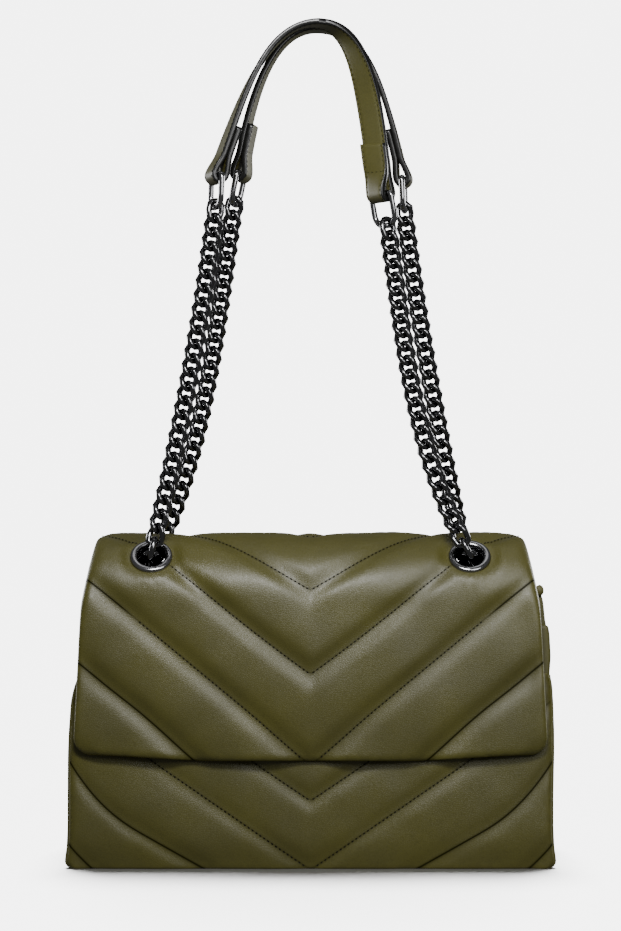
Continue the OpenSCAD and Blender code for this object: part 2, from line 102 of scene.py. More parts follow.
# Holes for the eyelets. The leather lies flat round them under flange and washer, up to a reach and then a slope
LEATHER_HOLE_R, LINING_HOLE_R = 0.0096, 0.0134
FLANGE_REACH, FLANGE_SLOPE, WASHER_REACH, WASHER_SLOPE, SEAT_GAP = 0.0129, 0.007, 0.0126, 0.004, 0.00003
# The same for a snap on the front panel
SNAP_REACH, SNAP_SLOPE = 0.0098, 0.007
# A strap's seam from its edge, and the length and number of steps in which a folded end closes behind its ring
STRAP_SEAM, FOLD_LEN, FOLD_STEPS = 0.0018, 0.013, 12
# Height and depth of the camera, and half the size of the floor
VIEW_Z, VIEW_Y, FLOOR_HALF = 0.232, -1.5, 20
# Spacing of the points of a profile, of a sheet's columns and of the points along a quilting line
PROFILE_STEP, SHEET_STEP, LINE_STEP = 0.0005, 0.002, 0.0008
# Distances from a sheet's edge at which it has extra rows, and how far from the edge its even columns begin
EDGE_ROWS, EDGE_CLEAR = (0, 0.0004, 0.001, 0.0019, 0.0032, 0.005), 0.0065
# Sides of a hole in a sheet, how far from its middle the cuts for it reach, and how far off the quilting stays
HOLE_SIDES, HOLE_CUTS, HOLE_CLEAR = 18, 0.018, 0.0128
# Where the quilting lines start and end beside the middle, and how far along a stitch its direction is taken
QUILT_START, QUILT_END, STITCH_REACH = 0.0006, 0.142, 0.0004


def front_y(z):
    """Depth of the front panel's outer face at a height."""
    return -FRONT_FOOT + (FRONT_FOOT - FRONT_HEAD) * z / SPRING_Z


def back_y(z):
    """Depth of the back panel's outer face at a height."""
    return BACK_FOOT + (CROWN_R - BACK_FOOT) * z / SPRING_Z


def half_w(z):
    """Half the width of the body at a height."""
    z = np.asarray(z, float)
    low = BASE_W + (SHOULDER_W - BASE_W) * z / SPRING_Z
    high = SHOULDER_W + (CROWN_W - SHOULDER_W) * (z - SPRING_Z) / CROWN_R
    return np.where(z < SPRING_Z, low, high) / 2


def smooth(share):
    """Smooth step from 0 to 1."""
    share = np.clip(share, 0, 1)
    return share * share * (3 - 2 * share)


def blended(a, b, share):
    """From a at share 0 to b at share 1."""
    return a * (1 - share) + b * share


def rim_layer(away):
    """1 at a turned edge, falling to 0 over a few millimetres. On leather it places edge wear and a painted highlight.
    """
    return np.exp(-away / RIM_REACH)


def lengths(points):
    """Length along a line up to each of its points."""
    return np.concatenate([[0], np.cumsum(np.linalg.norm(np.diff(points, axis=0), axis=1))])


def units(vectors):
    """Vectors made one long."""
    return vectors / np.linalg.norm(vectors, axis=1)[:, None]


def soft_curve(points):
    """A function through points of height and size, rounded at its corners."""
    heights = np.linspace(-0.01, 0.21, 441)
    kernel = np.hanning(17)[1:-1] / np.hanning(17)[1:-1].sum()
    sizes = np.convolve(np.pad(np.interp(heights, *zip(*points)), 7, "edge"), kernel, "valid")
    return lambda z: np.interp(z, heights, sizes)


# How far the filled body swells past its outline at each height, how much more on the right at the front, and how
# far the crown and the flap reach past theirs
SWELL = soft_curve(((0, 0.0010), (0.005, 0.0011), (0.012, 0.0005), (0.024, 0.0008), (0.039, 0.0018), (0.065, 0.0034),
                    (0.078, 0.0038), (0.096, 0.0037), (0.104, 0.0024), (0.111, 0.0002), (0.119, 0.0)))
RIGHT_SWELL = soft_curve(((0.039, 0), (0.06, 0.0005), (0.0825, 0.0013), (0.097, 0.0019), (0.108, 0.0040),
                          (0.121, 0.0062), (0.135, 0.0064), (0.143, 0.0054), (0.157, 0.0050), (0.163, 0)))
COVER_SWELL = soft_curve(((0.064, 0.0010), (0.09, 0.0013), (0.12, 0.0019), (0.15, 0.0022), (0.168, 0.0022),
                          (0.18, 0.0018), (0.192, 0.0015)))


def cover_w(z):
    """Half the width of the crown and the flap."""
    return half_w(z) + COVER_SWELL(z)


def side_w(z):
    """Half the width of the filled body, whose sides swell and whose lower corners are rounded."""
    return half_w(z) + SWELL(z) - edge_drop(np.asarray(z, float), 0.0048, 0.0042)


def lean_right(x, z):
    """How far the front's right side stands out more than its left."""
    return RIGHT_SWELL(z) * smooth((np.asarray(x, float) - 0.09) / 0.04)


def ripple(a, b, size, seed):
    """A soft uneven surface between about -1 and 1, the same each run."""
    rng = np.random.default_rng(seed)
    total = 0
    for _ in range(8):
        turn, wave, phase = rng.uniform(0, 2 * math.pi), size * rng.uniform(0.6, 1.7), rng.uniform(0, 2 * math.pi)
        total = total + np.sin((np.cos(turn) * a + np.sin(turn) * b) * 2 * math.pi / wave + phase)
    return total / 4


def is_wide(side, face):
    """A handle's wide end is on the left at the front and on the right at the back."""
    return side * face > 0


def face_word(face):
    """The name of a face."""
    return "front" if face < 0 else "back"


def side_word(side):
    """The name of a side."""
    return "left" if side < 0 else "right"


def looks():
    """The sizes and colours that the sidebar shows."""
    return bpy.context.scene.shoulder_bag


def settle(piece, slot, body, *nodes):
    """Puts a piece in the place of the frame's nodes, on its body. Its slot is not used."""
    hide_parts(*nodes)
    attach(piece, body)


# Mesh helpers


def linked(name, data):
    """An object of the scene."""
    made = bpy.data.objects.new(name, data)
    bpy.context.scene.collection.objects.link(made)
    return made


def put(name, verts, faces, materials, material_index=None):
    """A smooth-shaded mesh object at the origin."""
    mesh = bpy.data.meshes.new(name)
    mesh.from_pydata([tuple(v) for v in verts], [], [tuple(f) for f in faces])
    for material in materials:
        mesh.materials.append(bpy.data.materials[material])
    if material_index is not None:
        mesh.polygons.foreach_set("material_index", np.asarray(material_index, np.int32))
    mesh.polygons.foreach_set("use_smooth", np.ones(len(mesh.polygons), bool))
    mesh.update()
    return linked(name, mesh)


def store(piece, name, values):
    """Keeps a number at each vertex for the material."""
    layer = piece.data.attributes.new(name, "FLOAT", "POINT")
    layer.data.foreach_set("value", np.asarray(values, np.float32))


def join(name, parts):
    """Several mesh objects made one."""
    verts, faces, index, materials, layers = [], [], [], [], {}
    total = sum(len(p.data.vertices) for p in parts)
    for part in parts:
        first = len(verts)
        own = [m.name for m in part.data.materials]
        materials += [m for m in own if m not in materials]
        verts += [tuple(v.co) for v in part.data.vertices]
        faces += [tuple(first + i for i in p.vertices) for p in part.data.polygons]
        index += [materials.index(own[p.material_index]) for p in part.data.polygons]
        for layer in part.data.attributes:
            if layer.domain == "POINT" and layer.data_type == "FLOAT":
                values = np.zeros(len(part.data.vertices), np.float32)
                layer.data.foreach_get("value", values)
                layers.setdefault(layer.name, np.zeros(total, np.float32))[first:first + len(values)] = values
    for part in parts:
        bpy.data.objects.remove(part)
    made = put(name, verts, faces, materials, index)
    for layer, values in layers.items():
        store(made, layer, values)
    return made


def sweep(name, rings, materials, closed_path=False, ring_material=None):
    """A skin over rings of points, each a closed loop, with a cap at each end of an open path."""
    count, around = len(rings), len(rings[0])
    faces, index = [], []
    for k in range(count if closed_path else count - 1):
        a, b = k * around, ((k + 1) % count) * around
        for j in range(around):
            j2 = (j + 1) % around
            faces.append((a + j, a + j2, b + j2, b + j))
            index.append(ring_material[j] if ring_material else 0)
    if not closed_path:
        faces += [tuple(range(around - 1, -1, -1)), tuple((count - 1) * around + j for j in range(around))]
        index += [max(ring_material) if ring_material else 0] * 2
    made = put(name, [p for ring in rings for p in ring], faces, materials, index)
    face_out(made)
    return made


def face_out(piece):
    """Turns a closed mesh's faces outwards."""
    bm = bmesh.new()
    bm.from_mesh(piece.data)
    bmesh.ops.recalc_face_normals(bm, faces=bm.faces)
    bm.to_mesh(piece.data)
    bm.free()


def lathe(name, profile, frame_at, steps=64):
    """A plated turning: a closed profile of (radius, height) points turned about the Z axis of a placing matrix."""
    turns = [2 * math.pi * k / steps for k in range(steps)]
    rings = [[frame_at @ Vector((r * math.cos(a), r * math.sin(a), h)) for r, h in profile] for a in turns]
    return sweep(name, rings, ["gunmetal_plate"], closed_path=True)


class Profile:
    """Side view of a panel's outer face, as a line that is softened at its corners. Its outer side is on the left of
    its run."""

    def __init__(self, points, soften):
        points = np.array(points, float)
        along = lengths(points)
        self.length = along[-1]
        self.t = np.linspace(0, self.length, int(self.length / PROFILE_STEP) + 1)
        line = np.stack([np.interp(self.t, along, points[:, i]) for i in (0, 1)], 1)
        if soften:
            reach = int(soften / PROFILE_STEP)
            kernel = np.hanning(2 * reach + 3)[1:-1]
            kernel /= kernel.sum()
            start = 2 * line[0] - line[reach:0:-1]
            end = 2 * line[-1] - line[-2:-reach - 2:-1]
            padded = np.concatenate([start, line, end])
            line = np.stack([np.convolve(padded[:, i], kernel, "valid") for i in (0, 1)], 1)
        step = units(np.gradient(line, axis=0))
        self.line, self.out = line, np.stack([-step[:, 1], step[:, 0]], 1)

    def at(self, t):
        """y, z and the outward direction in y and z at a length along the line, or past its ends."""
        t = np.asarray(t, float)
        y, z, ny, nz = (np.interp(t, self.t, column) for column in (*self.line.T, *self.out.T))
        past = t - np.clip(t, 0, self.length)
        return y + past * nz, z - past * ny, ny, nz


class Quilt:
    """Chevron lines of quilting over a flat sheet in x and t. Each is (t at the middle, slope, flare at the sides,
    bow, distance from the middle past which the leather folds over the stitches)."""

    def __init__(self, lines):
        self.lines = np.array(sorted(lines), float)

    def heights(self, x):
        r = 0.0008
        arm = np.sqrt(np.asarray(x, float) ** 2 + r * r) - r
        flare = np.clip((arm - FLARE_START) / FLARE_WIDTH, 0, None) ** 2.6
        start, slope, sides, bow = (self.lines[:, i, None] for i in range(4))
        return start + slope * arm + sides * flare + bow * arm ** 2

    def folded(self, x, t):
        """1 where the nearest line is folded over its stitches, 0 where they show."""
        nearest = np.abs(self.heights(x) - t).argmin(0)
        return smooth((np.abs(x) - self.lines[nearest, 4]) / 0.012)

    def measure(self, x, t):
        """Distance to the nearest line and share of the way from it to the middle of its puff."""
        h = self.heights(x)
        k = np.clip((h <= t).sum(0) - 1, 0, len(self.lines) - 2)
        low, high = np.take_along_axis(h, k[None], 0)[0], np.take_along_axis(h, k[None] + 1, 0)[0]
        flare = np.clip((np.abs(x) - FLARE_START) / FLARE_WIDTH, 0, None) ** 1.6 * 2.6 / FLARE_WIDTH
        slope = self.lines[k, 1] + self.lines[k, 2] * flare + 2 * self.lines[k, 3] * np.abs(x)
        lean = 1 / np.sqrt(1 + slope ** 2)
        away = np.minimum(np.abs(t - low), np.abs(high - t)) * lean
        return away, np.clip(away / ((high - low) * lean / 2), 0, 1), k


# Shares of the way from one quilting line to the next at which a sheet has its rows
PUFF_ROWS = (0, 0.01, 0.025, 0.05, 0.09, 0.14, 0.2, 0.28, 0.38, 0.5, 0.62, 0.72, 0.8, 0.86, 0.91, 0.95, 0.975, 0.99)


def flat_sheet(profile, quilt, width, low, high, holes=(), hole_r=0.0, corner=0.0):
    """A sheet laid flat in x and t whose rows follow the quilting, cut to its outline. Width gives half its width at
    a height. Holes are (x, t) of eyelets in the crown."""
    edge = np.array(EDGE_ROWS)

    def width_at(t):
        return float(width(profile.at(np.array([t]))[1])[0])

    wide = width_at((low + high) / 2)
    inner = np.linspace(-1, 1, 2 * int(wide / SHEET_STEP) + 1)
    inner = inner[np.abs(inner) < 1 - EDGE_CLEAR / wide]
    columns = np.concatenate([-1 + edge / wide, inner, 1 - edge[::-1] / wide])
    rows = []
    for k in range(len(quilt.lines) - 1):
        rows += [(k, f) for f in PUFF_ROWS]
    rows.append((len(quilt.lines) - 2, 1.0))
    x = np.repeat((columns * wide)[None], len(rows), 0)
    for _ in range(5):
        t = np.stack([(1 - f) * quilt.heights(x[i])[k] + f * quilt.heights(x[i])[k + 1]
                      for i, (k, f) in enumerate(rows)])
        x = columns[None] * width(profile.at(np.clip(t, low, high))[1])
    bm = bmesh.new()
    made = [[bm.verts.new((x[i, j], t[i, j], 0)) for j in range(len(columns))] for i in range(len(rows))]
    for i in range(len(rows) - 1):
        if t[i + 1].max() < low or t[i].min() > high:
            continue
        for j in range(len(columns) - 1):
            quad = (made[i][j], made[i][j + 1], made[i + 1][j + 1], made[i + 1][j])
            if max(v.co.y for v in quad) > low and min(v.co.y for v in quad) < high:
                bm.faces.new(quad)
    bmesh.ops.delete(bm, geom=[v for v in bm.verts if not v.link_faces], context="VERTS")

    def cut(point, normal, clear, near=None):
        faces = bm.faces if near is None else [f for f in bm.faces if near(f.calc_center_median())]
        geom = set(faces)
        for f in faces:
            geom.update(f.edges)
            geom.update(f.verts)
        bmesh.ops.bisect_plane(bm, geom=list(geom), dist=1e-7, plane_co=(*point, 0), plane_no=(*normal, 0),
                               clear_outer=clear)

    cut((0, low), (0, -1), True)
    cut((0, high), (0, 1), True)
    for inset in edge[1:]:
        cut((0, low + inset), (0, -1), False)
        cut((0, high - inset), (0, 1), False)
    if corner:
        foot = width_at(low + corner)
        for side in (-1, 1):
            middle = Vector((side * (foot - corner), low + corner))
            for k in range(1, 9):
                a = math.radians(k * 10)
                out = Vector((side * math.sin(a), -math.cos(a)))
                cut(middle + corner * out, out, True,
                    lambda c: side * c.x > foot - 2 * corner and c.y < low + 2 * corner)
    for hx, ht in holes:
        for k in range(HOLE_SIDES):
            a = 2 * math.pi * k / HOLE_SIDES
            out = Vector((math.cos(a), math.sin(a)))
            cut(Vector((hx, ht)) + hole_r * out, out, False,
                lambda c: (c.x - hx) ** 2 + (c.y - ht) ** 2 < HOLE_CUTS ** 2)
        inside = [f for f in bm.faces if (f.calc_center_median().xy - Vector((hx, ht))).length < hole_r * 0.995]
        bmesh.ops.delete(bm, geom=inside, context="FACES")
    bmesh.ops.delete(bm, geom=[v for v in bm.verts if not v.link_faces], context="VERTS")
    bm.verts.index_update()
    flat = np.array([v.co[:2] for v in bm.verts], float)
    faces = [[v.index for v in f.verts] for f in bm.faces]
    rim = [(e.link_loops[0].vert.index, e.link_loops[0].link_loop_next.vert.index)
           for e in bm.edges if len(e.link_faces) == 1]
    bm.free()
    return flat, faces, rim


def plain_grid(columns, rows):
    """A plain flat sheet of x and t values."""
    flat = np.array([(x, t) for t in rows for x in columns], float)
    n, m = len(columns), len(rows)
    faces = [(i * n + j, i * n + j + 1, (i + 1) * n + j + 1, (i + 1) * n + j)
             for i in range(m - 1) for j in range(n - 1)]
    around = (list(range(n)) + [i * n + n - 1 for i in range(1, m)]
              + [(m - 1) * n + j for j in range(n - 2, -1, -1)] + [i * n for i in range(m - 2, 0, -1)])
    return flat, faces, list(zip(around, around[1:] + around[:1]))


def shell(name, faces, rim, outer, inner, material, layers):
    """A closed skin from an outer and an inner face of the same sheet, whose layers give a number at each vertex."""
    count = len(outer)
    both = ([tuple(f) for f in faces] + [tuple(i + count for i in reversed(f)) for f in faces]
            + [(b, a, a + count, b + count) for a, b in rim])
    made = put(name, np.concatenate([outer, inner]), both, [material])
    for layer, values in layers.items():
        store(made, layer, np.concatenate([values, values]))
    return made


def on_profile(profile, x, t, lift):
    """Points over a panel's outer face, lifted outwards. The flap's edge lifts at its corners, and the front panel
    leans out on the right."""
    if profile is COVER:
        corner_lift = 0.0034 * smooth((np.abs(x) - 0.055) / 0.075) * (1 - smooth(t / 0.045))
        edge_dip = 0.0015 * (1 - smooth(t / 0.03))
        t = t + corner_lift - edge_dip
    y, z, ny, nz = profile.at(t)
    if profile is FRONT:
        x = x + lean_right(x, z)
    return np.stack([x, y + ny * lift, z + nz * lift], 1)


def edge_drop(away, width, drop):
    """Rounded fall of a panel's face towards its edge."""
    share = np.clip(1 - away / width, 0, 1)
    return drop * (1 - np.sqrt(np.clip(1 - share ** 2, 0, 1)))


# The panels' side views and quilting

LEAN = math.atan2(FRONT_FOOT - FRONT_HEAD, SPRING_Z)
FLAP_LEN = (SPRING_Z - FLAP_EDGE) / math.cos(LEAN)
COVER_LEN = FLAP_LEN + math.pi * CROWN_R
COVER = Profile([(front_y(z) - FLAP_SHIFT, z) for z in np.linspace(FLAP_EDGE, SPRING_Z, 60)]
                + [(-CROWN_R * math.cos(a), SPRING_Z + CROWN_R * math.sin(a))
                   for a in np.linspace(0.02, math.pi, 150)], 0.006)
FRONT = Profile([(front_y(z), z) for z in np.linspace(0, FRONT_TOP, 40)], 0)
BACK = Profile([(back_y(z), z) for z in np.linspace(SPRING_Z, 0, 40)], 0)
# Fold-over distance of a line whose stitches all show
SHOWS = 1.0
COVER_QUILT = Quilt([(t, 0.82, 0, 0, SHOWS) for t in (-0.2185, -0.164, -0.1095, 0.1465, 0.1955, 0.2445, 0.2935)]
                    + [(-0.0545, 0.82, 0, 0, 0), (-0.002, 0.82, 0, 0, 0.1), (0.0488, 0.72, 0, 0.9, SHOWS),
                       (0.0976, 0.60, 0, 2.2, SHOWS)])
FRONT_QUILT = Quilt([(-0.130, 0.60, 0, 0, 0), (-0.0669, 0.50, 0.012, 0, 0), (-0.0339, 0.56, 0.0185, 0, 0),
                     (0, 0.68, 0.004, 0, SHOWS), (0.0395, 0.67, 0, 0, SHOWS), (0.079, 0.67, 0, 0, SHOWS),
                     (0.1185, 0.67, 0, 0, SHOWS)])
BACK_QUILT = Quilt([(t, -0.72, 0, 0, SHOWS) for t in (-0.034, 0.012, 0.058, 0.104, 0.15, 0.196, 0.242, 0.288)])
PANELS = (("front", FRONT, FRONT_QUILT, FRONT_SEED), ("back", BACK, BACK_QUILT, BACK_SEED))
EYELET_HOLES = [(side * EYELET_X, FLAP_LEN + turn * math.pi / 4 * CROWN_R) for side in (-1, 1) for turn in (1, 3)]


def puff_rise():
    """How a puff rises from its crease: a flat valley, a steep bank and a nearly flat top."""
    share = np.linspace(0, 1, 201)
    bank = smooth((share - 0.02) / 0.2) * (1 - smooth((share - 0.3) / 0.24))
    slope = (0.2 + bank) * np.clip((1 - share) / 0.4, 0, 1)
    rise = np.concatenate([[0], np.cumsum((slope[1:] + slope[:-1]) / 2)])
    return share, rise / rise[-1]


PUFF_RISE = puff_rise()


def quilted_face(quilt, x, t, seed):
    """Height of a quilted face over its panel: broad puffs, creases at the stitching and small puckers. The body's
    panels are filled less than the cover."""
    own = looks()
    away, share, k = quilt.measure(x, t)
    rise = np.interp(share, *PUFF_RISE)
    full = 1 if quilt is COVER_QUILT else PANEL_FILL
    height = full * (-own.crease_depth + (own.puff_height + own.crease_depth) * rise)
    run = np.abs(x) * 1.3
    puckers = np.sin(run * 2 * math.pi / 0.0075 + 3 * ripple(x, t, 0.03, seed + k.max())) * np.exp(-away / 0.004)
    puckers *= np.clip(away / 0.0012, 0, 1) * (0.5 + 0.5 * ripple(x, t, 0.045, seed + 2))
    height += (0.00012 * puckers + 0.0005 * ripple(x, t, 0.07, seed) * rise
               + 0.0002 * ripple(x, t, 0.025, seed + 5) * rise)
    return height, away


def near_side(side):
    """Share by which creases fade towards a turned edge."""
    return 0.55 * (1 - smooth(side / 0.009))


def crease_shade_mask(quilt, x, t, away):
    """Mask of the painted shade in the creases: 0.6 in a sewn crease and 1 in a folded one, falling to 0 over a few
    millimetres.
    """
    return (0.6 + 0.4 * quilt.folded(x, t)) * np.exp(-away / CREASE_REACH)


# Pieces


def eyelet_seat(x, t, hole, level, reach, slope):
    """A flat seat round a hole in the crown, at a distance from the crown's axis, and its share at each point."""
    angle = (t - hole[1]) / CROWN_R
    r = np.hypot(x - hole[0], CROWN_R * np.sin(angle))
    r[np.abs(angle) > 1] = 1
    return level / np.cos(np.clip(angle, -0.6, 0.6)) - CROWN_R, 1 - smooth((r - reach) / slope)


def flap_belly(x, t):
    """How far the middle of the closed flap stands out."""
    return 0.0012 * np.sin(np.clip(t / FLAP_LEN, 0, 1) * math.pi) * (1 - (x / 0.14) ** 2) * (t < FLAP_LEN)


def make_cover():
    """Crown and flap, one quilted hide that folds over the front edge."""
    flat, faces, rim = flat_sheet(COVER, COVER_QUILT, cover_w, 0, COVER_LEN, EYELET_HOLES, LEATHER_HOLE_R,
                                  FLAP_CORNER)
    x, t = flat.T
    height, away = quilted_face(COVER_QUILT, x, t, COVER_SEED)
    on_crown = smooth((t - FLAP_LEN + 0.012) / 0.024)
    side = cover_w(COVER.at(t)[1]) - np.abs(x)
    height += (looks().puff_height - height) * near_side(side)
    ends = edge_drop(side, 0.0035 + 0.0042 * on_crown, 0.0020 + 0.0032 * on_crown)
    foot = np.hypot(np.clip(FLAP_CORNER - side, 0, None), np.clip(FLAP_CORNER - t, 0, None))
    border = np.where((side < FLAP_CORNER) & (t < FLAP_CORNER), FLAP_CORNER - foot, np.minimum(side, t))
    low = edge_drop(np.clip(border, 0, None), 0.0035, 0.0020) * (1 - on_crown)
    rear = edge_drop(COVER_LEN - t, 0.003, 0.0016)
    height = height - np.maximum(np.maximum(ends, low), rear)
    height += flap_belly(x, t)
    inner = np.minimum(-COVER_T + 0.5 * np.minimum(np.maximum(ends, low), 0.002), height - 0.0014)
    for hole in EYELET_HOLES:
        seat, near = eyelet_seat(x, t, hole, FLANGE_S, FLANGE_REACH, FLANGE_SLOPE)
        height = blended(height, seat - SEAT_GAP, near)
        seat, near = eyelet_seat(x, t, hole, WASHER_S + SEAT_GAP, WASHER_REACH, WASHER_SLOPE)
        inner = blended(inner, np.minimum(seat, height - 0.001), near)
    cover = shell("quilted_cover", faces, rim, on_profile(COVER, x, t, height), on_profile(COVER, x, t, inner),
                  "olive_quilted_leather",
                  {"crease": crease_shade_mask(COVER_QUILT, x, t, away),
                   "rim": rim_layer(np.clip(np.minimum(border, COVER_LEN - t), 0, None))})
    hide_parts("crown_cover", "flap_panel")
    bend_with_flap(cover)


def panel_bulge(z):
    """The filled body's front and back stand out most a little above the base."""
    return 0.0026 * smooth((z + 0.012) / 0.03) * (1 - smooth((z - 0.02) / 0.11))


def snap_seat(x, z):
    """Share by which the front panel lies flat under its snaps."""
    return 1 - smooth((np.hypot(np.abs(x) - SNAP_X, z - SNAP_Z) - SNAP_REACH) / SNAP_SLOPE)


def make_panel(face, profile, quilt, seed):
    """The quilted front or back panel."""
    flat, faces, rim = flat_sheet(profile, quilt, side_w, 0, profile.length)
    x, t = flat.T
    height, away = quilted_face(quilt, x, t, seed)
    z = profile.at(t)[1]
    side = side_w(z) - np.abs(x)
    height += (PANEL_FILL * looks().puff_height - height) * near_side(side)
    top = edge_drop(np.abs(z - profile.line[:, 1].max()), 0.003, 0.0018)
    drop = np.maximum(np.maximum(edge_drop(side, 0.005, 0.0026), edge_drop(z, 0.0022, 0.0008)), top)
    height = height - drop + panel_bulge(z)
    if profile is FRONT:
        height = blended(height, -0.0001, snap_seat(x, z))
    outer = on_profile(profile, x, t, height)
    inner = on_profile(profile, x, t, np.full_like(height, -COVER_T + 0.0001))
    for skin in (outer, inner):
        skin[:, 2] = np.maximum(skin[:, 2], 0.00005)
    panel = shell(f"{face}_leather", faces, rim, outer, inner, "olive_quilted_leather",
                  {"crease": crease_shade_mask(quilt, x, t, away),
                   "rim": rim_layer(np.minimum(side, np.minimum(t, profile.length - t)))})
    settle(panel, "olive_leather", "bag", f"{face}_panel")


def gusset_sink(v, z):
    """How far a gusset folds inwards, at a share of the way from front to back."""
    deep = 0.0016 + 0.0042 * smooth(z / 0.15)
    return deep * np.sin(np.clip(v, 0, 1) * math.pi) ** 1.4


def gusset_y(v, z):
    """Depth at a share of the way across a gusset. Inside the crown's end it narrows with the curve."""
    reach = np.sqrt(np.clip((CROWN_R - COVER_T) ** 2 - np.clip(z - SPRING_Z, 0, None) ** 2, 1e-9, None))
    low = np.where(z < SPRING_Z, front_y(z) + COVER_T, np.maximum(front_y(SPRING_Z) + COVER_T, -reach))
    high = np.where(z < SPRING_Z, back_y(z) - COVER_T, reach)
    return low + (high - low) * v


def make_gusset(side):
    """A soft side panel that folds a little inwards."""
    name = side_word(side)
    flat, faces, rim = plain_grid(np.linspace(0, 1, 41), np.linspace(BASE_T, GUSSET_TOP, 101))
    v, z = flat.T
    slack = 0.0005 * ripple(v * 0.08, z, 0.05, 30 + side) * np.sin(v * math.pi)
    out = side_w(z) - gusset_sink(v, z) - edge_drop(GUSSET_TOP - z, 0.002, 0.0009) + slack
    if side > 0:
        out += RIGHT_SWELL(z) * (1 - smooth(v / 0.6))
    thick = GUSSET_T - edge_drop(GUSSET_TOP - z, 0.002, 0.0014)
    y = gusset_y(v, z)
    outer = np.stack([side * out, y, z], 1)
    inner = np.stack([side * (out - thick), y, z], 1)
    if side < 0:
        outer, inner = inner, outer
    piece = shell(f"{name}_gusset_leather", faces, rim, outer, inner, "olive_plain_leather",
                  {"rim": rim_layer(GUSSET_TOP - z)})
    face_out(piece)
    settle(piece, "olive_leather", "bag", f"{name}_gusset")


def rounded_strip(name, line, across, thick, side, grow=None):
    """A leather band with a rounded back along a line of points, facing a side. Grow gives its size at each point."""
    rings = []
    line = [Vector(p) for p in line]
    up = Vector((side, 0, 0))
    for i, p in enumerate(line):
        step = (line[min(i + 1, len(line) - 1)] - line[max(i - 1, 0)]).normalized()
        wide = step.cross(up).normalized()
        ring = []
        for k in range(12):
            c, s = math.cos(math.pi * k / 6), math.sin(math.pi * k / 6)
            flat = np.array([math.copysign(abs(c) ** 0.6, c), math.copysign(abs(s) ** 0.8, s)])
            if grow is not None:
                flat *= grow[i]
            ring.append(p + wide * across / 2 * flat[0] + up * thick / 2 * flat[1])
        rings.append(ring)
    return sweep(name, rings, ["binding_leather"])


def right_edge():
    """The turned edge that runs on up the right gusset beside the flap, and the folded end above it."""
    parts = []
    for name, low, high, wide, deep in (("lower_edge", 0.106, 0.1405, 0.0075, 0.0),
                                        ("upper_edge", 0.134, 0.1565, 0.0056, 0.0012)):
        zs = np.linspace(low, high, 24)
        outer = half_w(zs) + SWELL(zs) + RIGHT_SWELL(zs) + 0.001 - deep
        grow = np.sqrt(np.clip(1 - np.clip(1 - (high - zs) / 0.002, 0, 1) ** 2, 0.15, 1))
        line = [(x - wide / 2, front_y(z) + 0.0030 + deep, z) for x, z in zip(outer, zs)]
        parts.append(rounded_strip(name, line, 0.0036, wide, 1, grow))
    grow = np.sqrt(np.clip(1 - (2 * np.linspace(0, 1, 12) - 1) ** 2, 0.02, 1))
    line = [(0.1336, front_y(z) + 0.002, z) for z in np.linspace(0.1565, 0.1632, 12)]
    return parts + [rounded_strip("folded_end", line, 0.0050, 0.0050, 1, grow)]


def make_binding(side):
    """The bound seams between a gusset and the front and back panels."""
    name = side_word(side)
    parts = []
    for face, top in ((-1, FRONT_TOP), (1, SPRING_Z)):
        zs = np.linspace(0.001, top - 0.001, 60)
        ys = front_y(zs) + BINDING_DEPTH if face < 0 else back_y(zs) - BINDING_DEPTH
        more = RIGHT_SWELL(zs) if side > 0 and face < 0 else np.zeros(len(zs))
        line = [(side * (float(side_w(z)) + 0.0002 + m), y, z) for y, z, m in zip(ys, zs, more)]
        parts.append(rounded_strip(f"{name}_{top}", line, BINDING_W, BINDING_T, side))
    if side > 0:
        parts += right_edge()
    piece = join(f"{name}_bound_seams", parts)
    settle(piece, "olive_leather", "bag", f"{name}_binding")


def make_base():
    """The base panel, a little hollow between the seams."""
    flat, faces, rim = plain_grid(np.linspace(-1, 1, 121), np.linspace(0, 1, 41))
    x, v = flat[:, 0] * (BASE_W / 2 - 0.0004), flat[:, 1]
    y = front_y(0) + COVER_T + (back_y(0) - front_y(0) - 2 * COVER_T) * v
    away = np.minimum(np.minimum(v, 1 - v) * 0.083, BASE_W / 2 - np.abs(x))
    low = 0.0005 * smooth(away / 0.02) + 0.0002 * (1 + ripple(x, y, 0.04, 41)) * smooth(away / 0.01)
    low += edge_drop(away, 0.0045, 0.0024)
    top = BASE_T - 0.00002 - edge_drop(away, 0.002, 0.0004)
    piece = shell("base_leather", faces, rim, np.stack([x, y, top], 1), np.stack([x, y, low], 1),
                  "olive_plain_leather", {"rim": rim_layer(away)})
    face_out(piece)
    settle(piece, "olive_leather", "bag", "base_panel")


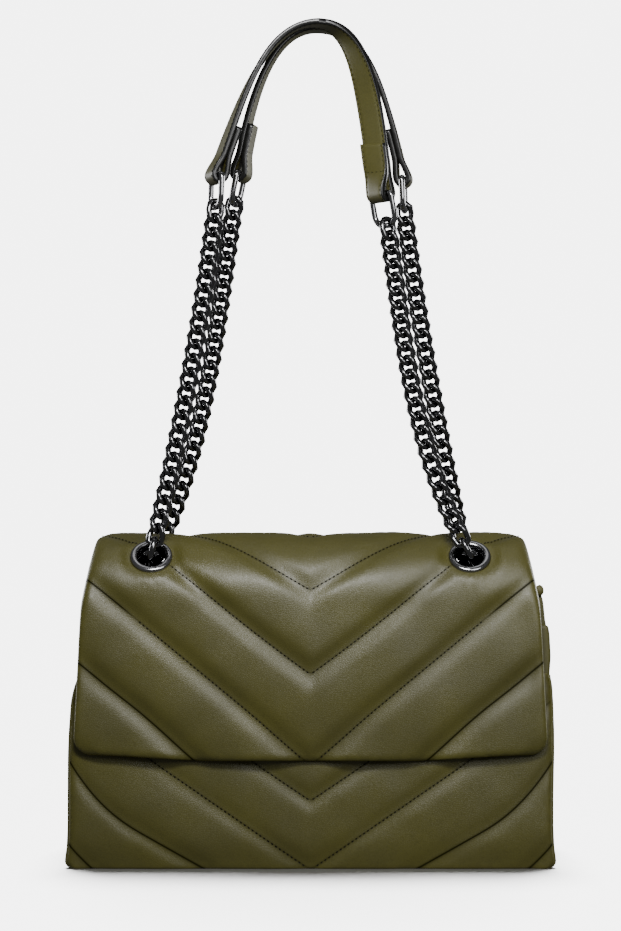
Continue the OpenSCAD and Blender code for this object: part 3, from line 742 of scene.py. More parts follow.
def make_body_lining():
    """An open cloth bag inside the body, lower at the front."""
    corner = 0.005
    wide, deep = np.linspace(0, 1, 49)[:-1], np.linspace(0, 1, 25)[:-1]
    u, v = np.array([(-1 + 2 * q, 0) for q in wide] + [(1, q) for q in deep]
                    + [(1 - 2 * q, 1) for q in wide] + [(-1, 1 - q) for q in deep]).T
    in_front = smooth((0.16 - v) / 0.12)
    top = SPRING_Z - 0.0004 - (SPRING_Z - FRONT_TOP) * in_front
    levels = np.concatenate([np.linspace(0, 0.04, 5)[:-1], np.linspace(0.04, 1, 40)])

    def ring(share, inset):
        low = FLOOR_Z + 0.0001 + inset
        z = low + (top - low) * share
        round_off = edge_drop(z - low, corner, corner)
        near, far = front_y(z) + COVER_T + 0.0002 + inset, back_y(z) - COVER_T - 0.0002 - inset
        y = near + round_off + (far - near - 2 * round_off) * v
        half = side_w(z) - GUSSET_T - 0.0008 - gusset_sink(v, z) - inset - round_off
        fold = 0.0006 * ripple(u * 0.14 + v * 0.09, z, 0.05, 51) * np.clip(share * 3, 0, 1) * (1 - share * 0.6)
        inward = np.where(np.abs(u) < 1, 0, 1)
        return np.stack([u * (half - np.abs(fold) * inward),
                         y + (1 - inward) * np.where(v < 0.5, 1, -1) * np.abs(fold), z], 1)

    rings = [ring(s, 0) for s in levels] + [ring(s, LINING_T) for s in levels[::-1]]
    piece = sweep("body_lining_cloth", rings, ["black_lining_cloth"])
    settle(piece, "black_lining", "bag", "lining")


def make_crown_lining():
    """Cloth under the crown, open round the washers."""
    r = CROWN_R - COVER_T - 0.0001
    under = Profile([(-r * math.cos(a), SPRING_Z + r * math.sin(a)) for a in np.linspace(0, math.pi, 120)], 0)
    lines = Quilt([(t, 0, 0, 0, SHOWS) for t in np.linspace(-0.02, under.length + 0.02, 10)])
    holes = [(side * EYELET_X, r * math.pi * q) for side in (-1, 1) for q in (0.25, 0.75)]
    flat, faces, rim = flat_sheet(under, lines, lambda z: half_w(z) - GUSSET_T - 0.001, 0, under.length, holes,
                                  LINING_HOLE_R)
    x, t = flat.T
    away = np.minimum(half_w(under.at(t)[1]) - GUSSET_T - 0.001 - np.abs(x), np.minimum(t, under.length - t))
    wave = 0.00025 * ripple(x, t, 0.05, 61) * smooth(away / 0.01)
    outer = on_profile(under, x, t, -0.0001 - np.abs(wave) - edge_drop(away, 0.001, 0.0003))
    inner = on_profile(under, x, t, -LINING_T - np.abs(wave) + edge_drop(away, 0.001, 0.0003))
    piece = shell("crown_lining_cloth", faces, rim, outer, inner, "black_lining_cloth", {"rim": rim_layer(away)})
    settle(piece, "black_lining", "bag", "crown_lining")


def make_flap_lining():
    """Cloth facing on the inner side of the flap."""
    inset, r = 0.003, 0.006
    low, high = inset / math.cos(LEAN), FLAP_LEN - 0.0036
    lines = Quilt([(t, 0, 0, 0, SHOWS) for t in np.linspace(-0.01, FLAP_LEN + 0.01, 8)])
    flat, faces, rim = flat_sheet(COVER, lines, lambda z: half_w(z) - inset, low, high, corner=r)
    x, t = flat.T
    away = np.clip(np.minimum(half_w(COVER.at(t)[1]) - inset - np.abs(x), np.minimum(t - low, high - t)), 0, None)
    wave = 0.0002 * (1 + ripple(x, t, 0.06, 71)) * smooth(away / 0.012)
    outer = on_profile(COVER, x, t, np.full_like(x, -COVER_T - 0.00005))
    inner = on_profile(COVER, x, t, -COVER_T - LINING_T + wave + edge_drop(away, 0.0012, 0.0007))
    piece = shell("flap_lining_cloth", faces, rim, outer, inner, "black_lining_cloth", {"rim": rim_layer(away)})
    settle(piece, "black_lining", "flap", "flap_lining")


def make_pocket():
    """A slip pocket that gapes at its top."""
    low, high, half = FLOOR_Z + LINING_T + POCKET_LOW, FLOOR_Z + LINING_T + POCKET_HIGH, POCKET_HALF
    flat, faces, rim = plain_grid(np.linspace(-half, half, 81), np.linspace(low, high, 42))
    x, z = flat.T
    sewn = np.clip((half - np.abs(x)) / 0.006, 0, 1) * np.clip((z - low) / 0.006, 0, 1)
    gape = 0.0005 + 0.0054 * smooth(sewn) * (0.55 + 0.45 * (z - low) / (high - low))
    gape += 0.0004 * ripple(x, z, 0.04, 81) * sewn
    wall = back_y(z) - COVER_T - LINING_T - 0.0004
    hem = 0.0003 * smooth((z - high + 0.009) / 0.001)
    outer = np.stack([x, wall - gape - 0.0008 - hem, z], 1)
    inner = np.stack([x, wall - gape, z], 1)
    piece = shell("pocket_cloth", faces, rim, outer, inner, "black_lining_cloth",
                  {"rim": rim_layer(np.minimum(half - np.abs(x), high - z))})
    settle(piece, "black_lining", "bag", "inner_pocket")


def make_snaps():
    """The two halves of each magnetic snap."""
    rise = 0.0024 * math.cos(LEAN)
    socket = [(0.0001, -0.0001), (0.0001, 0.00055), (0.0026, 0.00055), (0.0031, 0.00085), (0.0038, 0.00098),
              (0.0074, 0.00098), (0.0083, 0.0008), (0.0089, 0.0004), (0.009, -0.0001)]
    stud = [(0.0001, rise), (0.009, rise), (0.0088, rise - 0.0005), (0.0082, rise - 0.0008),
            (0.0072, rise - 0.00098), (0.0036, rise - 0.00098), (0.003, rise - 0.0008), (0.0026, rise - 0.0005),
            (0.0001, rise - 0.0005)]
    for node, body, profile in (("snap_sockets", "bag", socket), ("snap_studs", "flap", stud)):
        parts = []
        for side in (-1, 1):
            turned = (Matrix.Translation((side * SNAP_X, front_y(SNAP_Z), SNAP_Z))
                      @ Matrix.Rotation(math.pi / 2 - LEAN, 4, "X"))
            parts.append(lathe(f"{node}_{side}", profile, turned))
        settle(join(f"{node}_metal", parts), "gunmetal", body, node)


def make_eyelets():
    """Eyelets with a domed flange, and their washers inside the crown."""
    middle, half, tube = (EYELET_R + HOLE_R) / 2, (EYELET_R - HOLE_R) / 2, HOLE_R + 0.0008
    low, high, dome = WASHER_S - 0.0012, WASHER_S, 0.002
    profile = [(HOLE_R, low)]
    for k in range(17):
        a = math.pi - math.pi * k / 16
        profile.append((middle + half * math.cos(a), FLANGE_S + dome * math.sin(a) ** 0.55))
    profile += [(tube, FLANGE_S), (tube, low)]
    washer = [(0.0091, low), (0.0116, low), (0.0119, low + 0.0002), (0.012, low + 0.0006), (0.0119, high - 0.0001),
              (0.0116, high), (0.0091, high)]
    washers = []
    for side in (-1, 1):
        for face in (-1, 1):
            turned = (Matrix.Translation((side * EYELET_X, 0, SPRING_Z))
                      @ Matrix.Rotation(math.radians(-face * 45), 4, "X"))
            name = f"eyelet_{face_word(face)}_{side_word(side)}"
            settle(lathe(f"{name}_metal", profile, turned, 80), "gunmetal", "bag", name)
            washers.append(lathe(f"washer_{side}_{face}", washer, turned))
    settle(join("eyelet_washers_metal", washers), "gunmetal", "bag", "eyelet_washers")


# Rings and handles

# A handle's wide and near ends: their ring's upper bar, the lean of the handle's leg and of the ring in degrees, and
# how far the curve of the top reaches towards them
WIDE = {"x": 0.0554, "z": 0.4044, "lean": {-1: 20, 1: 14}, "reach": {-1: 0.031, 1: 0.034}, "ring": 2}
NEAR = {"x": 0.0416, "z": {-1: 0.3934, 1: 0.4076}, "lean": 9, "reach": {-1: 0.031, 1: 0.027}, "ring": 12}
LEG_REACH = 0.045
# Turn about the vertical of each handle end and its ring, in degrees: (side, face)
END_TURN = {(-1, -1): 20, (1, -1): 34, (-1, 1): -12, (1, 1): -7}
# More turn of a handle above its end, and how far up it begins to untwist
LEG_TURN = {(1, -1): (27, 0.045)}
# Lengths over which that turn sets in above the end, and over which the whole turn fades
TURN_IN, TURN_OUT = 0.02, 0.11


def upper_bar(side, face):
    """Middle of the ring's upper bar."""
    if is_wide(side, face):
        return np.array([side * WIDE["x"], face * HANDLE_Y, WIDE["z"]])
    return np.array([side * NEAR["x"], face * HANDLE_Y, NEAR["z"][face]])


def ring_down(side, face):
    """Direction down a ring."""
    lean = math.radians(WIDE["ring"] if is_wide(side, face) else NEAR["ring"])
    return np.array([side * math.sin(lean), 0, -math.cos(lean)])


def turned_about(points, centre, degrees):
    """Points turned about the vertical through a centre."""
    a = np.radians(degrees)
    d = np.asarray(points, float) - centre
    c, s = np.cos(a), np.sin(a)
    return np.stack([centre[..., 0] + c * d[..., 0] - s * d[..., 1], centre[..., 1] + s * d[..., 0] + c * d[..., 1],
                     centre[..., 2] + d[..., 2]], -1)


def make_rings():
    """Bent wire rings between the chains and the handles."""
    for side in (-1, 1):
        for face in (-1, 1):
            centre, down = upper_bar(side, face), ring_down(side, face)
            line = []
            for cy, cz, r, a0, a1 in ((RING_HALF - RING_TOP_R, -RING_TOP_R, RING_TOP_R, 90, 0),
                                      (RING_HALF - RING_LOW_R, RING_LOW_R - RING_H, RING_LOW_R, 0, -90),
                                      (RING_LOW_R - RING_HALF, RING_LOW_R - RING_H, RING_LOW_R, -90, -180),
                                      (RING_TOP_R - RING_HALF, -RING_TOP_R, RING_TOP_R, 180, 90)):
                for k in range(9):
                    a = math.radians(a0 + (a1 - a0) * k / 8)
                    line.append((cy + r * math.cos(a), cz + r * math.sin(a)))
            line = np.array(line)
            step = units(np.roll(line, -1, 0) - np.roll(line, 1, 0))
            square = np.cross([0, 1, 0], down)
            rings = []
            for (u, w), (su, sw) in zip(line, step):
                middle = centre + np.array([0, u, 0]) - down * w
                out = np.array([0, sw, 0]) + down * su
                ring = [middle + RING_R * (math.cos(a) * out + math.sin(a) * square)
                        for a in np.linspace(0, 2 * math.pi, 17)[:-1]]
                rings.append(turned_about(ring, centre, END_TURN[side, face]))
            place = f"{face_word(face)}_ring_{side_word(side)}"
            piece = sweep(f"{place}_wire", rings, ["gunmetal_plate"], closed_path=True)
            settle(piece, "gunmetal", f"{face_word(face)}_strap", place)


def cubic(p, t):
    """Points of a cubic curve."""
    t = np.asarray(t)[:, None]
    return (1 - t) ** 3 * p[0] + 3 * t * (1 - t) ** 2 * p[1] + 3 * t * t * (1 - t) * p[2] + t ** 3 * p[3]


class Strap:
    """One handle's run: from the end of one tab, round its ring, over the top, round the other ring and back up its
    tab. In X and Z, with its wide end on the left."""

    def __init__(self, face):
        self.face = face
        wide, near = np.array([-WIDE["x"], WIDE["z"]]), np.array([NEAR["x"], NEAR["z"][face]])
        ups = [math.radians(90 - WIDE["lean"][face]), math.radians(90 + NEAR["lean"])]
        up_w, up_n = (np.array([math.cos(a), math.sin(a)]) for a in ups)
        out_w, out_n = np.array([-up_w[1], up_w[0]]), np.array([up_n[1], -up_n[0]])
        top = np.array([-face * ARCH_SHIFT, HANDLE_TOP - HANDLE_T / 2])
        ends = wide + HANDLE_T / 2 * out_w, near + HANDLE_T / 2 * out_n
        legs = [[top, top - [WIDE["reach"][face], 0], ends[0] + LEG_REACH * up_w, ends[0]],
                [top, top + [NEAR["reach"][face], 0], ends[1] + LEG_REACH * up_n, ends[1]]]
        t = np.linspace(0, 1, 400)
        line = np.concatenate([cubic(legs[0], t)[::-1], cubic(legs[1], t)[1:]])
        along = lengths(line)
        whole = along[-1]
        step = units(np.gradient(line, along, axis=0))
        outward = np.stack([-step[:, 1], step[:, 0]], 1)

        def at(s):
            return (np.stack([np.interp(s, along, line[:, i]) for i in (0, 1)], 1),
                    np.stack([np.interp(s, along, outward[:, i]) for i in (0, 1)], 1))

        bar, flat = RING_R + 0.0002 + HANDLE_T / 2, HANDLE_T / 2

        def spread(s):
            return flat + (bar - flat) * (1 - smooth(s / FOLD_LEN))

        points, shares = [], []

        def run(s_main, s_end, sign):
            middle, out = at(s_main)
            o = spread(s_end)
            points.append(middle + out * ((o - flat) if sign > 0 else -(o + flat + 0.00004))[:, None])
            shares.append(s_main)

        def arc(centre, start, s_main):
            a = math.atan2(start[1], start[0]) - np.linspace(0, math.pi, 22)[1:-1]
            points.append(centre + bar * np.stack([np.cos(a), np.sin(a)], 1))
            shares.append(np.full(len(a), s_main))

        tab = np.concatenate([np.linspace(TAB_LEN, 0.014, 9), np.linspace(FOLD_LEN, 0, FOLD_STEPS)])
        main = np.concatenate([np.linspace(0, FOLD_LEN, FOLD_STEPS), np.linspace(0.015, whole - 0.015, 130),
                               np.linspace(whole - FOLD_LEN, whole, FOLD_STEPS)])
        run(tab, tab, -1)
        arc(wide, -out_w, 0.0)
        run(main, np.minimum(main, whole - main), 1)
        arc(near, out_n, whole)
        run(whole - tab[::-1], tab[::-1], -1)
        self.points, self.s, self.whole = np.concatenate(points), np.concatenate(shares), whole
        self.anchor = at(self.s)[0] - np.where(self.s[:, None] < whole / 2, ends[0] - wide, ends[1] - near)
        step = units(np.gradient(self.points, axis=0))
        self.out = np.stack([-step[:, 1], step[:, 0]], 1)
        self.tab_count = len(tab)

    def place(self, i, across, lift):
        """A point beside the run, across the strap and lifted off its middle, in the frame."""
        p = self.points[i] + self.out[i] * lift
        mirror = 1 if self.face < 0 else -1
        s = self.s[i]
        turn = 0
        for end, u in zip(((-mirror, self.face), (mirror, self.face)), (s, self.whole - s)):
            more, start = LEG_TURN.get(end, (0, 0))
            turn += (END_TURN[end] + more * smooth(u / TURN_IN)) * (1 - smooth((u - start) / TURN_OUT))
        point = np.array([mirror * p[0], self.face * HANDLE_Y + across, p[1]])
        centre = np.array([mirror * self.anchor[i, 0], self.face * HANDLE_Y, self.anchor[i, 1]])
        return turned_about(point, centre, turn)


def strap_section():
    """Cross-section of a strap: two olive faces with a sunken stitch line and rounded painted edges."""
    w, t = HANDLE_W / 2, HANDLE_T / 2
    half = [(w - 0.0007, t), (w - 0.0013, t - 0.00008), (w - STRAP_SEAM, t - 0.00022), (w - 0.0024, t - 0.00005),
            (w / 2, t)]
    face = [(-a, b) for a, b in half] + [(0, t)] + half[::-1]
    edge = [(w - 0.0007 + 0.0007 * math.sin(a), t * math.cos(a) ** 0.8) for a in np.radians([18, 36, 54, 72])]
    edge.append((w, 0))
    right = edge + [(a, -b) for a, b in reversed(edge[:-1])]
    section = face + right + [(-a, -b) for a, b in face] + [(-a, -b) for a, b in right]
    kinds = [0] * (len(face) - 1) + [1] * (len(right) + 1)
    return section, kinds * 2


def make_handles():
    """Leather handles whose ends fold round the rings and are sewn down."""
    section, kinds = strap_section()
    for face in (-1, 1):
        run = Strap(face)
        rings = [[run.place(i, a, b) for a, b in section] for i in range(len(run.points))]
        name = f"{face_word(face)}_handle"
        piece = sweep(f"{name}_leather", rings, ["olive_strap_leather", "painted_edge"], ring_material=kinds)
        settle(piece, "olive_leather", f"{face_word(face)}_strap", name)


# Chains and stitches, by Geometry Nodes


def tree_node(tree, kind, settings=None, **inputs):
    """A node with its settings and the values of its inputs."""
    made = tree.nodes.new(kind)
    for key, value in (settings or {}).items():
        setattr(made, key, value)
    for key, value in inputs.items():
        numbered = key[0] == "i" and key[1:].isdigit()
        socket = made.inputs[int(key[1:]) if numbered else key.replace("_", " ")]
        if isinstance(value, bpy.types.NodeSocket):
            tree.links.new(value, socket)
        else:
            socket.default_value = value
    return made


def attribute(tree, name, kind):
    """A named attribute's value."""
    return tree_node(tree, "GeometryNodeInputNamedAttribute", {"data_type": kind}, Name=name).outputs["Attribute"]


def new_tree(name, inputs):
    """A Geometry Nodes tree with a geometry input and output and named inputs."""
    tree = bpy.data.node_groups.new(name, "GeometryNodeTree")
    tree.interface.new_socket("Geometry", in_out="INPUT", socket_type="NodeSocketGeometry")
    for label, kind in inputs:
        socket = tree.interface.new_socket(label, in_out="INPUT", socket_type=kind)
        if kind == "NodeSocketFloat":
            socket.min_value = 0.0
    tree.interface.new_socket("Geometry", in_out="OUTPUT", socket_type="NodeSocketGeometry")
    return tree, tree.nodes.new("NodeGroupInput").outputs, tree.nodes.new("NodeGroupOutput").inputs


def end_tree(tree, result, geometry, material):
    """Shades a tree's geometry smooth, gives it its material and puts it out."""
    smoothed = tree_node(tree, "GeometryNodeSetShadeSmooth", Geometry=geometry)
    finished = tree_node(tree, "GeometryNodeSetMaterial", Geometry=smoothed.outputs[0], Material=material)
    tree.links.new(finished.outputs[0], result["Geometry"])


def chain_tree():
    """Curb links on points: a wire loop for each point, laid along its direction and twisted from end to end."""
    tree, given, result = new_tree("Curb chain", [("Link Length", "NodeSocketFloat"),
                                                  ("Link Half Width", "NodeSocketFloat"),
                                                  ("Wire Radius", "NodeSocketFloat"),
                                                  ("Finish", "NodeSocketMaterial")])

    def maths(kind, a, b):
        return tree_node(tree, "ShaderNodeMath", {"operation": kind}, i0=a, i1=b).outputs[0]

    half = maths("MULTIPLY", given["Link Length"], 0.5)
    straight = maths("SUBTRACT", half, given["Link Half Width"])
    loop = tree_node(tree, "GeometryNodeCurvePrimitiveCircle", Resolution=12, Radius=given["Link Half Width"])
    where = tree_node(tree, "GeometryNodeInputPosition").outputs[0]
    x = tree_node(tree, "ShaderNodeSeparateXYZ", Vector=where).outputs[0]
    snapped = maths("SNAP", maths("ADD", x, 0.0005), 0.001)
    offset = maths("MULTIPLY", maths("SIGN", snapped, 0.0), straight)
    shifted = tree_node(tree, "GeometryNodeSetPosition", Geometry=loop.outputs[0],
                        Offset=tree_node(tree, "ShaderNodeCombineXYZ", X=offset).outputs[0])
    wire = tree_node(tree, "GeometryNodeCurvePrimitiveCircle", Resolution=8, Radius=given["Wire Radius"])
    link = tree_node(tree, "GeometryNodeCurveToMesh", Curve=shifted.outputs[0], Profile_Curve=wire.outputs[0])
    kept = tree_node(tree, "GeometryNodeStoreNamedAttribute", {"data_type": "FLOAT_VECTOR", "domain": "POINT"},
                     Geometry=link.outputs[0], Name="local", Value=where)
    laid = tree_node(tree, "GeometryNodeInstanceOnPoints", Points=given["Geometry"], Instance=kept.outputs[0])
    real = tree_node(tree, "GeometryNodeRealizeInstances", Geometry=laid.outputs[0])
    local, along, across = (attribute(tree, n, "FLOAT_VECTOR") for n in ("local", "along", "across"))
    parts = tree_node(tree, "ShaderNodeSeparateXYZ", Vector=local).outputs
    turn = tree_node(tree, "ShaderNodeMapRange", {"interpolation_type": "SMOOTHSTEP"}, Value=parts[0],
                     From_Min=maths("MULTIPLY", half, -1.0), From_Max=half,
                     To_Min=attribute(tree, "turn_a", "FLOAT"), To_Max=attribute(tree, "turn_b", "FLOAT")).outputs[0]
    side = tree_node(tree, "ShaderNodeVectorRotate", {"rotation_type": "AXIS_ANGLE"}, Vector=across, Axis=along,
                     Angle=turn).outputs[0]

    def vector(kind, a, b):
        made = tree_node(tree, "ShaderNodeVectorMath", {"operation": kind}, i0=a)
        tree.links.new(b, made.inputs["Scale" if kind == "SCALE" else 1])
        return made.outputs[0]

    up = vector("CROSS_PRODUCT", along, side)
    total = vector("SUBTRACT", where, local)
    for direction, reach in zip((along, side, up), parts):
        total = vector("ADD", total, vector("SCALE", direction, reach))
    placed = tree_node(tree, "GeometryNodeSetPosition", Geometry=real.outputs[0], Position=total)
    end_tree(tree, result, placed.outputs[0], given["Finish"])


def stitch_tree():
    """Short threads on points, each laid along its direction."""
    tree, given, result = new_tree("Stitches", [("Stitch Length", "NodeSocketFloat"),
                                                ("Thread Width", "NodeSocketFloat"),
                                                ("Thread", "NodeSocketMaterial")])
    bead = tree_node(tree, "GeometryNodeMeshUVSphere", Segments=6, Rings=4, Radius=0.5)
    size = tree_node(tree, "ShaderNodeCombineXYZ", X=given["Stitch Length"], Y=given["Thread Width"],
                     Z=given["Thread Width"])
    turned = tree_node(tree, "FunctionNodeAxesToRotation", {"primary_axis": "X", "secondary_axis": "Z"},
                       Primary_Axis=attribute(tree, "along", "FLOAT_VECTOR"),
                       Secondary_Axis=attribute(tree, "across", "FLOAT_VECTOR"))
    laid = tree_node(tree, "GeometryNodeInstanceOnPoints", Points=given["Geometry"], Instance=bead.outputs[0],
                     Rotation=turned.outputs[0], Scale=size.outputs[0])
    real = tree_node(tree, "GeometryNodeRealizeInstances", Geometry=laid.outputs[0])
    end_tree(tree, result, real.outputs[0], given["Thread"])


def grown(name, tree_name, points, layers, inputs):
    """A mesh that a Geometry Nodes tree grows on points, whose layers carry a direction or a number for each."""
    mesh = bpy.data.meshes.new(name)
    mesh.from_pydata([tuple(p) for p in points], [], [])
    for key, values in layers.items():
        values = np.asarray(values, np.float32)
        kind, field = ("FLOAT_VECTOR", "vector") if values.ndim == 2 else ("FLOAT", "value")
        mesh.attributes.new(key, kind, "POINT").data.foreach_set(field, values.ravel())
    seed = linked(name + "_points", mesh)
    modifier = seed.modifiers.new("grown", "NODES")
    modifier.node_group = bpy.data.node_groups[tree_name]
    for item in modifier.node_group.interface.items_tree:
        if item.item_type == "SOCKET" and item.in_out == "INPUT" and item.name in inputs:
            modifier[item.identifier] = inputs[item.name]
    made = bpy.data.meshes.new_from_object(seed.evaluated_get(bpy.context.evaluated_depsgraph_get()))
    bpy.data.objects.remove(seed)
    for layer in [a.name for a in made.attributes if a.name in (*layers, "local")]:
        made.attributes.remove(made.attributes[layer])
    return linked(name, made)


def lay_chain(node, ends, turns, half, body):
    """Links between pairs of ends, each with the turns at its two ends in degrees and half its width."""
    a, b = (np.array([pair[i] for pair in ends]) for i in (0, 1))
    length = np.linalg.norm(b - a, axis=1)
    along = (b - a) / length[:, None]
    across = units(np.array([1, 0, 0]) - along[:, :1] * along)
    turn_a, turn_b = np.radians(turns).T
    piece = grown(f"{node}_links", "Curb chain", (a + b) / 2,
                  {"along": along, "across": across, "turn_a": turn_a, "turn_b": turn_b},
                  {"Link Length": float(length.mean()), "Link Half Width": half, "Wire Radius": WIRE_R,
                   "Finish": bpy.data.materials["gunmetal_chain"]})
    face_out(piece)
    settle(piece, "gunmetal", body, node)


def pivot(side, face):
    """Where a strap's chain hangs in the mouth of its eyelet."""
    lean = math.pi / 4
    return np.array([side * EYELET_X, face * PIVOT_S * math.sin(lean), SPRING_Z + PIVOT_S * math.cos(lean)])


def make_strap_chain(side, face):
    """The chain from an eyelet up to its ring."""
    foot = pivot(side, face)
    head = upper_bar(side, face) + RING_H * ring_down(side, face)
    length = np.linalg.norm(head - foot)
    count = round((length + PIVOT_GAP) / LINK_PITCH)
    pitch = (length + PIVOT_GAP) / count
    bow, skew = (WIDE_BOW, 0) if is_wide(side, face) else (NEAR_BOW, NEAR_SKEW)
    lean = (side * (foot[0] - head[0]) + 4 * bow * (1 + skew)) / length
    shift = np.array([side * lean * PIVOT_GAP / 2, 0, 0])

    def place(s):
        q = s / length
        lean_in = side * bow * 4 * q * (1 - q) * (1 + skew * (1 - 2 * q))
        if side > 0:
            lean_in -= RIGHT_SPREAD[face] * 4 * q * (1 - q) * (1.5 - q)
        return (foot - shift) * (1 - q) + head * q - np.array([lean_in, 0, 0])

    ends = [(place(i * pitch - PIVOT_GAP), place((i + 1) * pitch - PIVOT_GAP + LINK_GAP)) for i in range(count)]
    turns = [(-90, -90), (0, -45)] + [(45, -45)] * (count - 3) + [(45, END_TURN[side, face])]
    lay_chain(f"{face_word(face)}_chain_{side_word(side)}", ends, turns, STRAP_LINK_HALF, f"{face_word(face)}_strap")


def make_bridge_chain(side):
    """The chain under the crown, from the front eyelet to the back one."""
    tilt = math.radians(45 + BRIDGE_LEAN)
    swing = math.pi / 2 - tilt
    start = pivot(side, 1)
    straight = start[1] / math.sin(tilt) - BRIDGE_BEND / math.tan(tilt)
    bend = BRIDGE_BEND * 2 * swing
    length = 2 * straight + bend
    centre_z = start[2] - start[1] / math.tan(tilt) + BRIDGE_BEND / math.sin(tilt)
    count = round((length - LINK_GAP) / LINK_PITCH)
    pitch = (length - LINK_GAP) / count

    def leg(s, face):
        return pivot(side, face) - s * np.array([0, face * math.sin(tilt), math.cos(tilt)])

    def place(s):
        if s < straight:
            return leg(s, -1)
        if s > straight + bend:
            return leg(length - s, 1)
        a = ((s - straight) / bend * 2 - 1) * swing
        return np.array([side * EYELET_X, BRIDGE_BEND * math.sin(a), centre_z - BRIDGE_BEND * math.cos(a)])

    ends = [(place(i * pitch), place((i + 1) * pitch + LINK_GAP)) for i in range(count)]
    turns = [(0, 0), (90, 135)] + [(45, -45)] * (count - 4) + [(45, 90), (0, 0)]
    lay_chain(f"bridge_chain_{side_word(side)}", ends, turns, BRIDGE_LINK_HALF, "bag")


def sew(name, runs, width):
    """Stitches along runs of points. Each run is (points, outward directions, pitch)."""
    points, along, up = [], [], []
    for line, out, pitch in runs:
        reach = lengths(line)
        count = int(reach[-1] / pitch)
        if count < 1:
            continue
        s = (np.arange(count) + 0.5) * reach[-1] / count
        at = [np.stack([np.interp(v, reach, column) for column in line.T], 1)
              for v in (s - STITCH_REACH, s, s + STITCH_REACH)]
        points.append(at[1])
        along.append(at[2] - at[0])
        up.append(np.stack([np.interp(s, reach, column) for column in out.T], 1))
    points, along, up = (np.concatenate(v) for v in (points, along, up))
    piece = grown(name, "Stitches", points, {"along": along, "across": up},
                  {"Stitch Length": looks().stitch_length, "Thread Width": width,
                   "Thread": bpy.data.materials["dark_thread"]})
    return piece


def quilting_runs(profile, quilt, width, high, lift, holes=(), corner=0.0):
    """The arms of the chevrons, as runs over a panel up to a length, clear of its edges, its holes and its folds."""
    runs, inset = [], 0.0012
    for k in range(len(quilt.lines)):
        for side in (-1, 1):
            x = side * np.arange(QUILT_START, QUILT_END, LINE_STEP)
            t = quilt.heights(x)[k]
            wide = width(profile.at(np.clip(t, 0, high))[1])
            free = (t > inset) & (t < high - inset) & (np.abs(x) < wide - inset) & (np.abs(x) < quilt.lines[k, 4])
            if corner:
                dx, dt = np.abs(x) - (wide - corner), corner - t
                free &= ~((dx > 0) & (dt > 0) & (np.hypot(dx, dt) > corner - 0.001))
            for hx, ht in holes:
                free &= np.hypot(x - hx, t - ht) > HOLE_CLEAR
            for part in np.split(np.arange(len(x)), np.flatnonzero(np.diff(free.astype(int))) + 1):
                if len(part) < 4 or not free[part[0]]:
                    continue
                _, _, ny, nz = profile.at(t[part])
                out = np.stack([np.zeros(len(part)), ny, nz], 1)
                runs.append((on_profile(profile, x[part], t[part], lift(x[part], t[part])), out, STITCH_PITCH))
    return runs


def make_quilting():
    """Stitches in the creases of the cover and of the front and back panels."""
    own = looks()

    def on_cover(x, t):
        height = quilted_face(COVER_QUILT, x, t, COVER_SEED)[0] + THREAD_RISE + flap_belly(x, t)
        for hole in EYELET_HOLES:
            seat, near = eyelet_seat(x, t, hole, FLANGE_S, FLANGE_REACH, FLANGE_SLOPE)
            height = blended(height, seat + 0.0001, near)
        return height

    runs = quilting_runs(COVER, COVER_QUILT, cover_w, COVER_LEN, on_cover, EYELET_HOLES, FLAP_CORNER)
    bend_with_flap(sew("cover_quilting", runs, own.thread_width))
    snaps = [(side * SNAP_X, SNAP_Z / math.cos(LEAN)) for side in (-1, 1)]
    for face, profile, quilt, seed in PANELS:

        def on_panel(x, t):
            z = profile.at(t)[1]
            seat = snap_seat(x, z) if profile is FRONT else 0
            return blended(quilted_face(quilt, x, t, seed)[0] + THREAD_RISE + panel_bulge(z), 0.0002, seat)

        runs = quilting_runs(profile, quilt, lambda z: side_w(z) - 0.004, profile.length, on_panel,
                             snaps if profile is FRONT else ())
        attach(sew(f"{face}_quilting", runs, own.thread_width), "bag")


def make_handle_stitching():
    """Edge stitching on the handles, and a row across each folded end."""
    w, t = HANDLE_W / 2 - STRAP_SEAM, HANDLE_T / 2 - 0.0001
    for face in (-1, 1):
        run = Strap(face)
        last = len(run.points) - 1
        rows = [([(i, across) for i in range(last + 1)], lift) for across in (-w, w) for lift in (-t, t)]
        rows += [([(i, across) for across in np.linspace(-w, w, 12)], lift)
                 for i in (run.tab_count - FOLD_STEPS, last - run.tab_count + FOLD_STEPS)
                 for lift in (-t - 0.0001, t + 0.0001)]
        runs = []
        for places, lift in rows:
            line, off = (np.array([run.place(i, across, up) for i, across in places]) for up in (lift, 2 * lift))
            runs.append((line, off - line, looks().strap_stitch_pitch))
        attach(sew(f"{face_word(face)}_handle_stitching", runs, STRAP_THREAD), f"{face_word(face)}_strap")


def bend_with_flap(piece):
    """The piece folds with the flap over the front edge of the crown."""
    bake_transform(piece, "bag", "flap", start=(0, -0.0380, 0.1575), end=(0, -0.0410, 0.1475))


# Finishes


def new_group(name, inputs, outputs):
    """A shader node group with a vector input, named number inputs and named number outputs."""
    tree = bpy.data.node_groups.new(name, "ShaderNodeTree")
    tree.interface.new_socket("Vector", in_out="INPUT", socket_type="NodeSocketVector")
    for label, value in inputs.items():
        tree.interface.new_socket(label, in_out="INPUT", socket_type="NodeSocketFloat").default_value = value
    for label in outputs:
        tree.interface.new_socket(label, in_out="OUTPUT", socket_type="NodeSocketFloat")
    return tree, tree.nodes.new("NodeGroupInput").outputs, tree.nodes.new("NodeGroupOutput").inputs


def noise(tree, place, scale, detail, roughness=0.5):
    """Cloudy noise between 0 and 1."""
    return tree_node(tree, "ShaderNodeTexNoise", Vector=place, Scale=scale, Detail=detail,
                     Roughness=roughness).outputs["Fac"]


